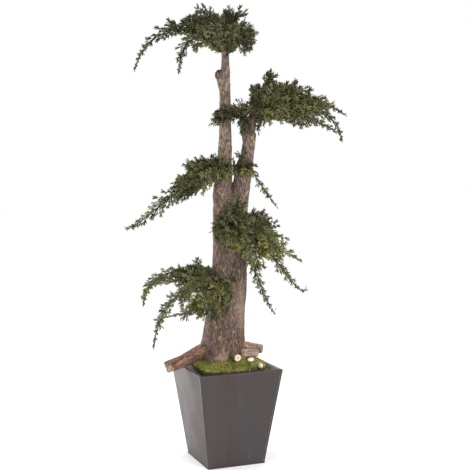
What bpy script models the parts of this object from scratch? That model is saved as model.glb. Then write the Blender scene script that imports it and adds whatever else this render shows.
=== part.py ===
"""A preserved juniper with five weeping pads of foliage, set in a tapered square planter.

Metres, +Z up. The origin is the centre of the planter's flat underside, and the planter's sides
are square to X and Y. The tree is described across, in depth and up, as it is looked at, and
its frame is turned in the planter by TREE_TURN.
"""

import math
import random
from collections import namedtuple

import bmesh
import bpy
import numpy as np
from mathutils import Matrix, Vector
from mathutils.bvhtree import BVHTree

# Clearances
GAP = 0.0003
LEAF_CLEARANCE = 0.001
WELD = 0.00001

# The whole tree
OVERALL_HEIGHT = 2.13
TREE_TURN = math.radians(-22)

# Planter of folded sheet metal
PLANTER_HEIGHT = 0.448
RIM_SIDE = 0.406
FOOT_SIDE = 0.278
SHEET = 0.002
RIM_FOLD_WIDTH = 0.005
RIM_FOLD_HEIGHT = 0.010
FOOT_HEM_HEIGHT = 0.008
FOOT_HEM_PROUD = 0.0015

# Fill and moss. The moss is thin and lumpy at its edge, and a mound round the trunk
GROUND = 0.425
MOSS_HALF = 0.180
MOSS_LEFT_SHARE = 0.92
MOSS_EDGE = 0.012
MOSS_CREST = 0.045
MOSS_CENTRE = (0.015, -0.011)
MOSS_SPREAD = 0.132
MOSS_EDGE_SHARPNESS = 16
MOSS_HUMP = 0.043
MOSS_HUMP_CENTRE = (0.0515, -0.1395)
MOSS_HUMP_SPREAD = 0.055
MOSS_CELLS = 10
MOSS_LUMP = 0.0035
MOSS_FINE_LUMP = 0.6
MOSS_WAVE = 0.110
MOSS_ROUNDED_CORNER = 0.15
MOSS_BARE_CORNER = 0.10
MOSS_BARE_FROM = 0.9

# Trunk, as stations of height, across, depth, half width and half depth
TRUNK_SIDES = 20
TRUNK_RINGS = 16
FORK = 1.160
TRUNK_STATIONS = (
    (GROUND, -0.017, 0.000, 0.112, 0.104),
    (0.520, -0.015, 0.000, 0.104, 0.094),
    (0.640, -0.009, 0.000, 0.096, 0.084),
    (0.780, 0.008, 0.000, 0.085, 0.074),
    (0.960, 0.019, 0.000, 0.078, 0.064),
    (FORK, 0.020, 0.000, 0.082, 0.050),
)
CREASE_START = 1.040
FLARE = 0.020
FLARE_FADE = 0.060
BUTTRESSES = (178, 118, 62, 8, -52, -108)
BUTTRESS_SHARPNESS = 8

# Stems and boughs, as stations of across, depth, up and radius
LEFT_STEM = (
    (-0.018, 0.000, 1.130, 0.047),
    (-0.014, 0.000, 1.230, 0.043),
    (-0.006, 0.000, 1.380, 0.035),
    (-0.002, 0.000, 1.500, 0.028),
    (-0.003, 0.000, 1.640, 0.0245),
    (-0.003, 0.000, 1.780, 0.021),
    (-0.003, 0.000, 1.880, 0.019),
    (-0.008, 0.000, 1.950, 0.012),
)
SNAG = (
    (-0.004, -0.002, 1.690, 0.014),
    (-0.018, -0.006, 1.750, 0.017),
    (-0.031, -0.009, 1.806, 0.014),
)
RIGHT_STEM = (
    (0.057, 0.000, 1.130, 0.042),
    (0.066, 0.000, 1.230, 0.0415),
    (0.081, 0.002, 1.340, 0.039),
    (0.099, 0.004, 1.450, 0.0345),
    (0.110, 0.004, 1.530, 0.032),
)
RIGHT_BOUGH = (
    (0.110, 0.004, 1.510, 0.022),
    (0.119, 0.003, 1.560, 0.0215),
    (0.127, 0.000, 1.610, 0.020),
    (0.134, 0.000, 1.645, 0.014),
)
LEFT_BOUGH = (
    (0.104, -0.002, 1.505, 0.019),
    (0.090, -0.004, 1.555, 0.0165),
    (0.080, -0.006, 1.600, 0.014),
    (0.075, -0.008, 1.625, 0.010),
)

# Roots and cut limbs at the foot
LEFT_ROOT = (
    (-0.050, -0.020, 0.546, 0.034),
    (-0.110, -0.040, 0.522, 0.033),
    (-0.192, -0.064, 0.4792, 0.0300),
    (-0.276, -0.080, 0.4500, 0.0270),
)
RIGHT_ROOT = (
    (0.060, -0.012, 0.541, 0.026),
    (0.110, -0.022, 0.535, 0.023),
    (0.170, -0.040, 0.531, 0.0205),
)
FRONT_STUB = (
    (0.030, -0.085, 0.513, 0.0165),
    (0.045, -0.113, 0.510, 0.0170),
    (0.057, -0.137, 0.508, 0.0170),
)
SHORT_LOG = (
    (0.0812, -0.1220, 0.5282, 0.0195),
    (0.1130, -0.1029, 0.5246, 0.01875),
    (0.1448, -0.0838, 0.5210, 0.0180),
)
LIMB_SIDES = {"left_stem": 12, "right_stem": 12}
BOUGH_SIDES = 10
RING_SPACING = 2.3

# Pebbles, as across, depth, height over the moss and half sizes
PEBBLES = (
    (0.115, -0.126, 0.0055, 0.0165, 0.012, 0.0105),
    (0.162, -0.108, 0.0020, 0.0130, 0.012, 0.0135),
)
PEBBLE_SWELL = 0.08
PEBBLE_TURN = 1.3
PEBBLE_SEAT_SIZE = 1.04

# A tuft is a flat star that stands for a small spray of scale leaves. Its sizes across are
# shares of its length, and it is smaller towards the end of its stem, by TUFT_TAPER there
TUFT_LENGTH = 0.092
TUFT_VARIATION = 0.15
TUFT_TAPER = 0.42
TIP_LENGTH = 0.068
TUFT_THICKNESS = 0.007
TUFT_FINGERS = 5
FINGER_ANGLE = math.radians(43)
FINGER_REACH = 0.58
FINGER_DROP = 0.08
NOTCH_REACH = 0.22
ROOT_REACH = 0.42
TUFT_SUNK = 0.007
TIP_TRIES = 8

# The core of close foliage round the middle of a spray's stem
CORE_PLACE = 0.50
CORE_HALF_LENGTH = 0.27
CORE_LONGEST = 0.100
CORE_WIDTH = 0.44
CORE_FLATNESS = 0.65
CORE_SHRINK = 0.82
CORE_TRIES = 5

# The stem of a spray, which arches over from the bark and hangs to its tip
BARK_SEARCH = 0.3
FOOT_CORNERS = 12
TURN_OFF = 0.012
LIFT_SHARE = 0.35
HANG_SHARE = 0.12
ARCH_SHARE = 0.5
STEM_STEP = 0.065
STEM_RADIUS = 0.0042
STEM_TIP_RADIUS = 0.0020

# The twigs along it. The spray is widest past its middle, by SPREAD_SWELL over SPREAD_LEAST
TWIG_RADIUS = 0.0026
TWIG_TIP_RADIUS = 0.0014
TWIG_SPACING = 0.066
FIRST_TWIG = 0.16
TWIG_RANGE = 0.80
SPREAD_LEAST = 0.45
SPREAD_SWELL = 0.75
SPREAD_PLACE = 1.1
SHORTEST_TWIG = 0.75
TWIG_ANGLE = math.radians(55)
TWIG_SAG = 0.12
TWIG_TRIES = 6
RETRY_TURN = math.radians(60)
GOLDEN_ANGLE = math.radians(137.5)
SPRAY_FLATNESS = 0.75
UPRIGHT = 0.1
SEED = 2718

# The sprays that fill a pad, as shares of its half height, and their spread
RING_FALL = 0.5
RING_DROP = 0.9
RING_SPREAD = 0.058

Spray = namedtuple("Spray", "limb height azimuth tip arch drop spread")
Pad = namedtuple("Pad", "limb height centre half ring sprays")

# Each pad: the limb that carries it, the height of its roots, the middle and half size of its
# dense part, the azimuths of the sprays that fill it, and the sprays that reach out of it.
# Azimuth 0 is across to the right and -90 is towards the front.
PADS = {
    "top_pad": Pad("left_stem", 1.900, (-0.035, 0.0, 2.000), (0.165, 0.155, 0.075), (-112, 52, 112), {
        "long_tail": Spray("left_stem", 1.938, 178, (-0.415, -0.030, 1.809), 0.162, 0.214, 0.050),
        "short_tail": Spray("left_stem", 1.880, -152, (-0.203, -0.070, 1.780), 0.080, 0.230, 0.045),
        "spike": Spray("left_stem", 1.939, 140, (-0.122, 0.020, OVERALL_HEIGHT), 0.066, -0.033, 0.060),
        "crest": Spray("left_stem", 1.943, -30, (0.073, -0.030, 2.104), 0.100, -0.040, 0.060),
        "right_reach": Spray("left_stem", 1.922, 9, (0.154, 0.010, 1.986), 0.110, 0.023, 0.055),
        "fringe": Spray("left_stem", 1.877, -57, (0.082, -0.115, 1.872), 0.118, 0.068, 0.055),
    }),
    "right_pad": Pad("right_bough", 1.600, (0.277, 0.0, 1.670), (0.160, 0.150, 0.075), (-100, 20, 82), {
        "long_tail": Spray("right_bough", 1.600, -12, (0.573, -0.050, 1.607), 0.125, 0.030, 0.045),
        "front_tail": Spray("right_bough", 1.600, -48, (0.526, -0.110, 1.483), 0.040, 0.200, 0.045),
        "back_tail": Spray("right_bough", 1.570, 35, (0.525, 0.060, 1.524), 0.070, 0.066, 0.045),
        "spike": Spray("right_bough", 1.636, 60, (0.185, 0.030, 1.823), 0.090, -0.070, 0.050),
        "crest": Spray("right_bough", 1.634, -32, (0.324, -0.010, 1.769), 0.035, 0.000, 0.055),
        "wing": Spray("left_bough", 1.615, -132, (-0.091, -0.100, 1.555), 0.057, 0.024, 0.045),
        "inner_tuft": Spray("left_bough", 1.614, 120, (0.109, 0.060, 1.741), 0.031, -0.032, 0.045),
    }),
    "middle_pad": Pad("left_stem", 1.350, (-0.035, -0.05, 1.340), (0.150, 0.130, 0.065), (-100, 100, 150), {
        "long_tail": Spray("left_stem", 1.363, -172, (-0.485, -0.060, 1.090), 0.000, -0.028, 0.060),
        "under_tail": Spray("left_stem", 1.333, -142, (-0.163, -0.110, 1.209), 0.012, 0.062, 0.050),
        "right_tail": Spray("right_stem", 1.375, -55, (0.241, -0.075, 1.179), -0.060, 0.003, 0.040),
        "up_tuft": Spray("right_stem", 1.385, -112, (0.062, -0.085, 1.455), 0.030, -0.020, 0.040),
        "left_tuft": Spray("left_stem", 1.385, -122, (-0.080, -0.070, 1.440), 0.040, -0.010, 0.050),
    }),
    "low_right_pad": Pad("trunk", 1.075, (0.140, -0.055, 1.045), (0.135, 0.120, 0.085), (-58, 40), {
        "long_tail": Spray("trunk", 1.114, -32, (0.366, -0.090, 0.932), -0.008, 0.025, 0.050),
        "hook_tail": Spray("trunk", 1.090, -6, (0.381, -0.020, 0.802), -0.054, -0.071, 0.040),
        "fall": Spray("trunk", 1.060, -32, (0.227, -0.105, 0.694), -0.080, -0.060, 0.040),
        "top_tuft": Spray("trunk", 1.135, -48, (0.050, -0.095, 1.232), 0.030, -0.030, 0.050),
        "right_reach": Spray("trunk", 1.125, 12, (0.195, -0.020, 1.175), 0.060, 0.000, 0.055),
        "left_reach": Spray("trunk", 1.100, -104, (-0.078, -0.125, 1.100), 0.040, 0.030, 0.050),
    }),
    "low_left_pad": Pad("trunk", 0.820, (-0.115, -0.040, 0.825), (0.130, 0.130, 0.075), (-118, 125), {
        "left_reach": Spray("trunk", 0.868, 176, (-0.372, 0.020, 0.855), 0.061, 0.010, 0.045),
        "long_tail": Spray("trunk", 0.850, -158, (-0.378, -0.100, 0.736), 0.010, 0.230, 0.040),
        "fall": Spray("trunk", 0.785, -152, (-0.351, -0.115, 0.503), 0.110, 0.240, 0.035),
        "low_twig": Spray("trunk", 0.720, -130, (-0.290, -0.165, 0.699), 0.017, -0.017, 0.025),
        "up_tuft": Spray("trunk", 0.880, -150, (-0.148, -0.060, 0.960), 0.030, -0.030, 0.050),
        "front_fall": Spray("trunk", 0.825, -92, (-0.056, -0.150, 0.664), 0.050, 0.090, 0.055),
        "right_tuft": Spray("trunk", 0.850, -66, (0.055, -0.125, 0.835), 0.030, 0.020, 0.045),
    }),
}

# Finishes, as colour, roughness and metallic value
DARK_METAL = ((0.095, 0.085, 0.080), 0.45, 0.85)
SOIL = ((0.060, 0.045, 0.035), 0.95, 0.0)
MOSS = ((0.170, 0.240, 0.030), 0.95, 0.0)
WHITE_STONE = ((0.700, 0.690, 0.660), 0.55, 0.0)
BARK = ((0.190, 0.140, 0.105), 0.90, 0.0)
LEAF_GREEN = ((0.045, 0.075, 0.030), 0.75, 0.0)


def clear_scene():
    """Remove whatever the scene holds."""
    for thing in list(bpy.data.objects):
        bpy.data.objects.remove(thing, do_unlink=True)


def new_collection(name):
    """A collection under the scene's own."""
    collection = bpy.data.collections.new(name)
    bpy.context.scene.collection.children.link(collection)
    return collection


def dress(thing, finish):
    """Give the object a material of its own."""
    colour, roughness, metallic = finish
    material = bpy.data.materials.new(thing.name)
    material.use_nodes = True
    shader = material.node_tree.nodes["Principled BSDF"]
    shader.inputs["Base Color"].default_value = (*colour, 1.0)
    shader.inputs["Roughness"].default_value = roughness
    shader.inputs["Metallic"].default_value = metallic
    thing.data.materials.clear()
    thing.data.materials.append(material)


def add_object(name, data, collection):
    """An object of that data in the collection."""
    thing = bpy.data.objects.new(name, data)
    collection.objects.link(thing)
    return thing


def mesh_from(name, bm):
    """A mesh from the bmesh, which is then freed."""
    mesh = bpy.data.meshes.new(name)
    bm.to_mesh(mesh)
    bm.free()
    return mesh


def split_faces(bm):
    """Split every face into triangles along fixed diagonals, so that a limb and its cutter
    have the same faces."""
    bmesh.ops.triangulate(bm, faces=bm.faces, quad_method="FIXED", ngon_method="BEAUTY")


def evaluated_mesh(thing):
    """The object's mesh with its modifiers, or its curve, worked out."""
    bpy.context.view_layer.update()
    graph = bpy.context.evaluated_depsgraph_get()
    return bpy.data.meshes.new_from_object(thing.evaluated_get(graph))


def welded_mesh(thing, split=False):
    """The object's evaluated mesh with its seams welded."""
    mesh = evaluated_mesh(thing)
    bm = bmesh.new()
    bm.from_mesh(mesh)
    bmesh.ops.remove_doubles(bm, verts=bm.verts, dist=WELD)
    if split:
        split_faces(bm)
    bm.to_mesh(mesh)
    bm.free()
    return mesh


def smooth_rows(rows, count):
    """Rows spaced evenly along the smooth curve through the given rows, whose first three
    columns are a place. Columns after them, such as a radius, follow the same curve."""
    rows = np.array(rows, dtype=float)
    steps = np.linalg.norm(np.diff(rows[:, :3], axis=0), axis=1)
    knots = np.concatenate(([0.0], np.cumsum(steps)))
    slopes = np.gradient(rows, knots, axis=0)
    places = np.linspace(0.0, knots[-1], count)
    out = []
    for place in places:
        i = int(min(np.searchsorted(knots, place, side="right") - 1, len(knots) - 2))
        width = knots[i + 1] - knots[i]
        u = (place - knots[i]) / width
        start = rows[i] * (2 * u**3 - 3 * u**2 + 1) + slopes[i] * width * (u**3 - 2 * u**2 + u)
        end = rows[i + 1] * (3 * u**2 - 2 * u**3) + slopes[i + 1] * width * (u**3 - u**2)
        out.append(start + end)
    return np.array(out)


def tube(name, rows, collection, sides=None, profile=None):
    """A tapering round limb, or one with the profile's section, as a closed mesh object."""
    curve = bpy.data.curves.new(name, "CURVE")
    curve.dimensions = "3D"
    curve.use_fill_caps = True
    if profile is None:
        curve.bevel_depth = 1.0
        curve.bevel_resolution = (sides - 4) // 2
    else:
        curve.bevel_mode = "OBJECT"
        curve.bevel_object = profile
    spline = curve.splines.new("POLY")
    spline.points.add(len(rows) - 1)
    for point, row in zip(spline.points, rows):
        point.co = (row[0], row[1], row[2], 1.0)
        point.radius = row[3]
    guide = add_object(name + "_line", curve, collection)
    mesh = welded_mesh(guide, split=True)
    mesh.name = name
    bpy.data.objects.remove(guide, do_unlink=True)
    return add_object(name, mesh, collection)


def add_boolean(thing, operation, cutter):
    """Cut or join the object with another."""
    modifier = thing.modifiers.new(operation.lower(), "BOOLEAN")
    modifier.operation = operation
    modifier.object = cutter


def boolean(thing, operation, cutter):
    """Cut or join the object with another, and apply it."""
    add_boolean(thing, operation, cutter)
    mesh = welded_mesh(thing)
    thing.modifiers.clear()
    thing.data = mesh


def trim_below(thing, height):
    """Cut the object flat at that height and close the cut."""
    bm = bmesh.new()
    bm.from_mesh(thing.data)
    geometry = bm.verts[:] + bm.edges[:] + bm.faces[:]
    bmesh.ops.bisect_plane(
        bm, geom=geometry, plane_co=(0, 0, height), plane_no=(0, 0, 1), clear_inner=True
    )
    edges = [edge for edge in bm.edges if edge.is_boundary]
    bmesh.ops.holes_fill(bm, edges=edges)
    bmesh.ops.recalc_face_normals(bm, faces=bm.faces)
    bm.to_mesh(thing.data)
    bm.free()


def planter_profile():
    """The planter's wall from the rim's inner edge, over and down its outside, to the middle of
    its floor inside, as distances from the centre to a side, and heights."""
    lean = (RIM_SIDE - FOOT_SIDE) / 2 / PLANTER_HEIGHT

    def outside(height):
        return FOOT_SIDE / 2 + lean * height

    rim_foot = PLANTER_HEIGHT - RIM_FOLD_HEIGHT
    top = outside(PLANTER_HEIGHT)
    return (
        (top - RIM_FOLD_WIDTH, PLANTER_HEIGHT),
        (top, PLANTER_HEIGHT),
        (outside(rim_foot), rim_foot),
        (outside(rim_foot) - SHEET / 4, rim_foot),
        (outside(FOOT_HEM_HEIGHT) - SHEET / 4, FOOT_HEM_HEIGHT),
        (outside(FOOT_HEM_HEIGHT) - SHEET / 4 + FOOT_HEM_PROUD, FOOT_HEM_HEIGHT),
        (FOOT_SIDE / 2, 0.0),
        (0.0, 0.0),
        (0.0, SHEET),
        (outside(SHEET) - SHEET * 5 / 4, SHEET),
        (outside(rim_foot) - SHEET * 5 / 4, rim_foot),
        (outside(rim_foot) - RIM_FOLD_WIDTH, rim_foot),
    )


def inner_half(height):
    """Half of the clear width inside the planter at that height."""
    lean = (RIM_SIDE - FOOT_SIDE) / 2 / PLANTER_HEIGHT
    return FOOT_SIDE / 2 + lean * height - SHEET * 5 / 4


def square_turned(name, profile, collection):
    """A square piece turned from a profile, with its sides square to X and Y."""
    bm = bmesh.new()
    corner = math.sqrt(2.0)
    points = [bm.verts.new((across * corner, 0.0, height)) for across, height in profile]
    for start, end in zip(points, points[1:]):
        if start.co.x > 0.0 or end.co.x > 0.0:
            bm.edges.new((start, end))
    if profile[0][0] > 0.0 and profile[-1][0] > 0.0:
        bm.edges.new((points[-1], points[0]))
    thing = add_object(name, mesh_from(name, bm), collection)
    thing.rotation_euler.z = math.radians(45)
    screw = thing.modifiers.new("four sides", "SCREW")
    screw.steps = 4
    screw.render_steps = 4
    screw.use_merge_vertices = True
    screw.merge_threshold = WELD
    screw.use_smooth_shade = False
    return thing


def build_planter(collection):
    """The folded planter, open at the top."""
    planter = square_turned("planter", planter_profile(), collection)
    dress(planter, DARK_METAL)
    return planter


def build_fill(collection):
    """The block of fill that the trunk stands on."""
    floor = SHEET + GAP
    profile = (
        (0.0, GROUND),
        (inner_half(GROUND) - GAP, GROUND),
        (inner_half(floor) - GAP, floor),
        (0.0, floor),
    )
    fill = square_turned("fill", profile, collection)
    dress(fill, SOIL)
    return fill


def trunk_radius(angle, half_width, half_depth, crease):
    """Distance from the trunk's middle to its bark: an ellipse that turns into the outline of
    two stems side by side as crease goes from 0 to 1."""
    oval = 1.0 / math.hypot(math.cos(angle) / half_width, math.sin(angle) / half_depth)
    stems = ((LEFT_STEM[0], LEFT_STEM[1]), (RIGHT_STEM[0], RIGHT_STEM[1]))
    middle = TRUNK_STATIONS[-1][1]
    reach = 0.0
    for low, high in stems:
        share = (FORK - low[2]) / (high[2] - low[2])
        offset = low[0] + (high[0] - low[0]) * share - middle
        radius = low[3] + (high[3] - low[3]) * share
        side = radius**2 - (offset * math.sin(angle)) ** 2
        if side > 0.0:
            reach = max(reach, offset * math.cos(angle) + math.sqrt(side))
    return oval * (1.0 - crease) + reach * crease


def ease(value):
    """A smooth step from 0 to 1."""
    value = min(max(value, 0.0), 1.0)
    return value * value * (3.0 - 2.0 * value)


def trunk_mesh(grow=0.0):
    """The trunk from its flat cut to the fork, grown outwards for use as a cutter."""
    stations = [(x, y, z, width, depth) for z, x, y, width, depth in TRUNK_STATIONS]
    rows = smooth_rows(stations, TRUNK_RINGS)
    rows[0][2] = GROUND + GAP - grow
    rows[-1][2] = FORK + grow
    bm = bmesh.new()
    rings = []
    for across, depth, up, half_width, half_depth in rows:
        crease = ease((up - CREASE_START) / (FORK - CREASE_START))
        foot = FLARE * math.exp(-(up - GROUND) / FLARE_FADE)
        ring = []
        for i in range(TRUNK_SIDES):
            angle = 2 * math.pi * i / TRUNK_SIDES
            lobes = max(math.cos(angle - math.radians(at)) for at in BUTTRESSES)
            radius = trunk_radius(angle, half_width, half_depth, crease)
            radius += foot * (2 * lobes**BUTTRESS_SHARPNESS - 1.0) + grow
            ring.append(bm.verts.new((
                across + radius * math.cos(angle), depth + radius * math.sin(angle), up
            )))
        rings.append(ring)
    for low, high in zip(rings, rings[1:]):
        for i in range(TRUNK_SIDES):
            j = (i + 1) % TRUNK_SIDES
            bm.faces.new((low[i], low[j], high[j], high[i]))
    bm.faces.new(rings[-1])
    bm.faces.new(rings[0][::-1])
    split_faces(bm)
    return mesh_from("trunk", bm)


def limb_rows(stations, grow=0.0):
    """Evenly spaced rows along a limb, grown outwards and past both ends for use as a cutter."""
    rows = np.array(stations, dtype=float)
    length = np.linalg.norm(np.diff(rows[:, :3], axis=0), axis=1).sum()
    count = max(4, int(round(length / (RING_SPACING * rows[:, 3].mean()))))
    rows = smooth_rows(rows, count)
    rows[:, 3] += grow
    first = rows[0, :3] - rows[1, :3]
    last = rows[-1, :3] - rows[-2, :3]
    rows[0, :3] += first / np.linalg.norm(first) * grow
    rows[-1, :3] += last / np.linalg.norm(last) * grow
    return rows


def build_wood(parts, cutters):
    """The trunk, its two stems, the boughs of the right stem and the cut roots at the foot.
    Each limb is cut clear of the one that carries it, and its cutter is kept."""
    wood = {"trunk": add_object("trunk", trunk_mesh(), parts)}
    grown = {"trunk": add_object("trunk_cutter", trunk_mesh(GAP), cutters)}
    limbs = (
        ("left_stem", LEFT_STEM, ()),
        ("right_stem", RIGHT_STEM, ("left_stem",)),
        ("right_bough", RIGHT_BOUGH, ("right_stem",)),
        ("left_bough", LEFT_BOUGH, ("right_stem", "right_bough")),
        ("left_root", LEFT_ROOT, ("trunk",)),
        ("right_root", RIGHT_ROOT, ("trunk",)),
        ("front_stub", FRONT_STUB, ("trunk",)),
        ("short_log", SHORT_LOG, ("trunk", "right_root", "front_stub")),
    )
    for name, stations, carriers in limbs:
        sides = LIMB_SIDES.get(name, BOUGH_SIDES)
        limb = tube(name, limb_rows(stations), parts, sides)
        grown[name] = tube(name + "_cutter", limb_rows(stations, GAP), cutters, sides)
        if name == "left_stem":
            snag = tube("snag", limb_rows(SNAG), cutters, BOUGH_SIDES)
            boolean(limb, "UNION", snag)
            bpy.data.objects.remove(snag, do_unlink=True)
        if name in ("left_stem", "right_stem"):
            trim_below(limb, FORK + GAP)
        for carrier in carriers:
            boolean(limb, "DIFFERENCE", grown[carrier])
        wood[name] = limb
    for limb in wood.values():
        dress(limb, BARK)
    return wood, grown


def moss_height(across, depth):
    """Height of the moss over the fill, highest round the trunk, with a hump under the logs at
    its right, and lumpy all over."""
    near = math.dist((across, depth), MOSS_CENTRE) / MOSS_SPREAD
    beside = math.dist((across, depth), MOSS_HUMP_CENTRE) / MOSS_HUMP_SPREAD
    edge = max(abs(across), abs(depth)) / MOSS_HALF
    mound = MOSS_CREST * math.exp(-(near**4) / 4) + MOSS_HUMP * math.exp(-(beside**2))
    mound *= 1 - edge**MOSS_EDGE_SHARPNESS
    wave = math.tau / MOSS_WAVE
    lumps = math.sin(across * wave + 1.1) * math.sin(depth * wave + 0.4)
    lumps += MOSS_FINE_LUMP * math.sin((2 * across + depth) * wave)
    return MOSS_EDGE + mound + MOSS_LUMP * lumps * (1 - edge)


def moss_surface(across, depth):
    """Height of the moss over the floor, at a place given in the planter's frame."""
    return GROUND + GAP + moss_height(across, depth)


def build_moss(parts, cutters, grown, pebbles):
    """The mound of moss, cut clear of the trunk, the roots and the pebbles."""
    bm = bmesh.new()
    bmesh.ops.create_grid(bm, x_segments=MOSS_CELLS, y_segments=MOSS_CELLS, size=MOSS_HALF)
    for vert in bm.verts:
        across, depth = vert.co.x, vert.co.y
        corner = abs(across * depth) / MOSS_HALF**2
        shrink = 1.0 - MOSS_ROUNDED_CORNER * corner**2
        if across > 0 > depth:
            shrink -= MOSS_BARE_CORNER * ease((across - depth) / MOSS_HALF - MOSS_BARE_FROM)
        side = MOSS_LEFT_SHARE if across < 0 else 1.0
        vert.co.x = across * shrink * side
        vert.co.y = depth * shrink
        vert.co.z = moss_surface(vert.co.x, vert.co.y)
    rim = [edge for edge in bm.edges if edge.is_boundary]
    skirt = bmesh.ops.extrude_edge_only(bm, edges=rim)["geom"]
    for vert in [item for item in skirt if isinstance(item, bmesh.types.BMVert)]:
        vert.co.z = GROUND + GAP
    bmesh.ops.holes_fill(bm, edges=[edge for edge in bm.edges if edge.is_boundary])
    bmesh.ops.recalc_face_normals(bm, faces=bm.faces)
    moss = add_object("moss", mesh_from("moss", bm), parts)
    for name in ("trunk", "left_root", "right_root", "front_stub", "short_log"):
        add_boolean(moss, "DIFFERENCE", grown[name])
    for pebble in pebbles:
        hollow = add_object(pebble.name + "_hollow", pebble.data.copy(), cutters)
        hollow.matrix_world = pebble.matrix_world @ Matrix.Scale(PEBBLE_SEAT_SIZE, 4)
        add_boolean(moss, "DIFFERENCE", hollow)
    dress(moss, MOSS)
    return moss


def build_pebbles(parts):
    """White pebbles half sunk in the moss."""
    pebbles = []
    turn = Matrix.Rotation(TREE_TURN, 4, "Z")
    for i, (across, depth, over, half_x, half_y, half_z) in enumerate(PEBBLES):
        bm = bmesh.new()
        bmesh.ops.create_icosphere(bm, subdivisions=2, radius=1.0)
        for vert in bm.verts:
            wobble = math.sin(3 * vert.co.x + i) * math.cos(2 * vert.co.y - i)
            vert.co *= 1.0 + PEBBLE_SWELL * wobble
        name = f"pebble_{i + 1}"
        pebble = add_object(name, mesh_from(name, bm), parts)
        place = turn @ Vector((across, depth, 0.0))
        place.z = moss_surface(place.x, place.y) + over
        size = Matrix.Diagonal((half_x, half_y, half_z, 1.0))
        pebble.data.transform(Matrix.Rotation(i * PEBBLE_TURN, 4, "Z") @ size)
        pebble.location = place
        dress(pebble, WHITE_STONE)
        pebbles.append(pebble)
    bpy.context.view_layer.update()
    return pebbles


class Solid:
    """A small closed mesh, with its faces sorted so that nearness is quickly found."""

    def __init__(self, mesh):
        self.points = [vert.co.copy() for vert in mesh.vertices]
        faces = [tuple(face.vertices) for face in mesh.polygons]
        self.tree = BVHTree.FromPolygons(self.points, faces)
        box = np.array([tuple(point) for point in self.points])
        self.low = box.min(axis=0)
        self.high = box.max(axis=0)

    def touches(self, other):
        """Whether the other one crosses this one, comes too near it or lies inside it."""
        if self.tree.overlap(other.tree):
            return True
        for point in other.points:
            place, normal, _, distance = self.tree.find_nearest(point)
            if distance < LEAF_CLEARANCE or (point - place).dot(normal) < 0.0:
                return True
        return False


class Space:
    """All that is in the crown so far, each solid under the name of its node."""

    def __init__(self):
        self.solids = []
        self.owners = []
        self.lows = np.zeros((0, 3))
        self.highs = np.zeros((0, 3))

    def add(self, owner, solid):
        """Keep the room that the solid takes."""
        self.solids.append(solid)
        self.owners.append(owner)
        self.lows = np.vstack((self.lows, solid.low - LEAF_CLEARANCE))
        self.highs = np.vstack((self.highs, solid.high + LEAF_CLEARANCE))

    def drop_last(self):
        """Give back the room of the solid that was added last."""
        self.solids.pop()
        self.owners.pop()
        self.lows = self.lows[:-1]
        self.highs = self.highs[:-1]

    def is_clear(self, owner, solid):
        """Whether the solid stays under the top of the tree and clear of all other nodes."""
        if solid.high[2] > OVERALL_HEIGHT + WELD:
            return False
        near = (self.lows <= solid.high).all(axis=1) & (self.highs >= solid.low).all(axis=1)
        for i in np.nonzero(near)[0]:
            if self.owners[i] != owner and self.solids[i].touches(solid):
                return False
        return True


def tuft(name, root, heading, roll, length, collection):
    """A flat star of fingers on one root, for a small spray of scale leaves. It is thickest at
    its middle and thins out to its outline."""
    bm = bmesh.new()
    bmesh.ops.create_uvsphere(bm, u_segments=2 * TUFT_FINGERS, v_segments=2, radius=1.0)
    for vert in bm.verts:
        if abs(vert.co.z) > 0.5:
            vert.co = (0.0, 0.0, math.copysign(TUFT_THICKNESS / 2, vert.co.z))
            continue
        turns = round(math.atan2(vert.co.y, vert.co.x) / (math.pi / TUFT_FINGERS))
        finger, between = divmod(abs(turns), 2)
        angle = math.copysign(abs(turns) / 2 * FINGER_ANGLE, turns)
        reach = NOTCH_REACH if between else FINGER_REACH - FINGER_DROP * finger
        if abs(turns) == TUFT_FINGERS:
            angle = math.pi
            reach = ROOT_REACH
        vert.co = (length * reach * math.cos(angle), length * reach * math.sin(angle), 0.0)
    bmesh.ops.translate(bm, verts=bm.verts, vec=(ROOT_REACH * length, 0.0, 0.0))
    aim = Vector(heading).to_track_quat("X", "Z").to_matrix().to_4x4()
    bm.transform(Matrix.Translation(root) @ aim @ Matrix.Rotation(roll, 4, "X"))
    return add_object(name, mesh_from(name, bm), collection)


def core(name, place, heading, halves, collection):
    """A slim rounded body along the heading, flatter than it is wide."""
    bm = bmesh.new()
    bmesh.ops.create_uvsphere(bm, u_segments=5, v_segments=3, radius=1.0)
    aim = Vector(heading).to_track_quat("Z", "Y").to_matrix().to_4x4()
    bm.transform(Matrix.Translation(place) @ aim @ Matrix.Diagonal((*halves, 1.0)))
    return add_object(name, mesh_from(name, bm), collection)


def surface_point(solid, stations, height, azimuth):
    """The place on the limb's bark at that height and azimuth, and its outward normal."""
    axis = np.array(stations)
    axis_x = np.interp(height, axis[:, 2], axis[:, 0])
    axis_y = np.interp(height, axis[:, 2], axis[:, 1])
    angle = math.radians(azimuth)
    direction = Vector((math.cos(angle), math.sin(angle), 0.0))
    far = Vector((axis_x, axis_y, height)) + direction * BARK_SEARCH
    place, normal, _, _ = solid.tree.ray_cast(far, -direction)
    return place, normal


def seat(solid, place, normal):
    """The middle of a stem's flat foot, as near to the bark as its edge can come."""
    start = place + normal * GAP
    arm = normal.orthogonal().normalized() * STEM_RADIUS
    nearest = GAP
    for i in range(FOOT_CORNERS):
        corner = start + Matrix.Rotation(math.tau * i / FOOT_CORNERS, 3, normal) @ arm
        bark, facing, _, distance = solid.tree.find_nearest(corner)
        inside = (corner - bark).dot(facing) < 0.0
        nearest = min(nearest, -distance if inside else distance)
    return start + normal * (GAP - nearest)


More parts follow.
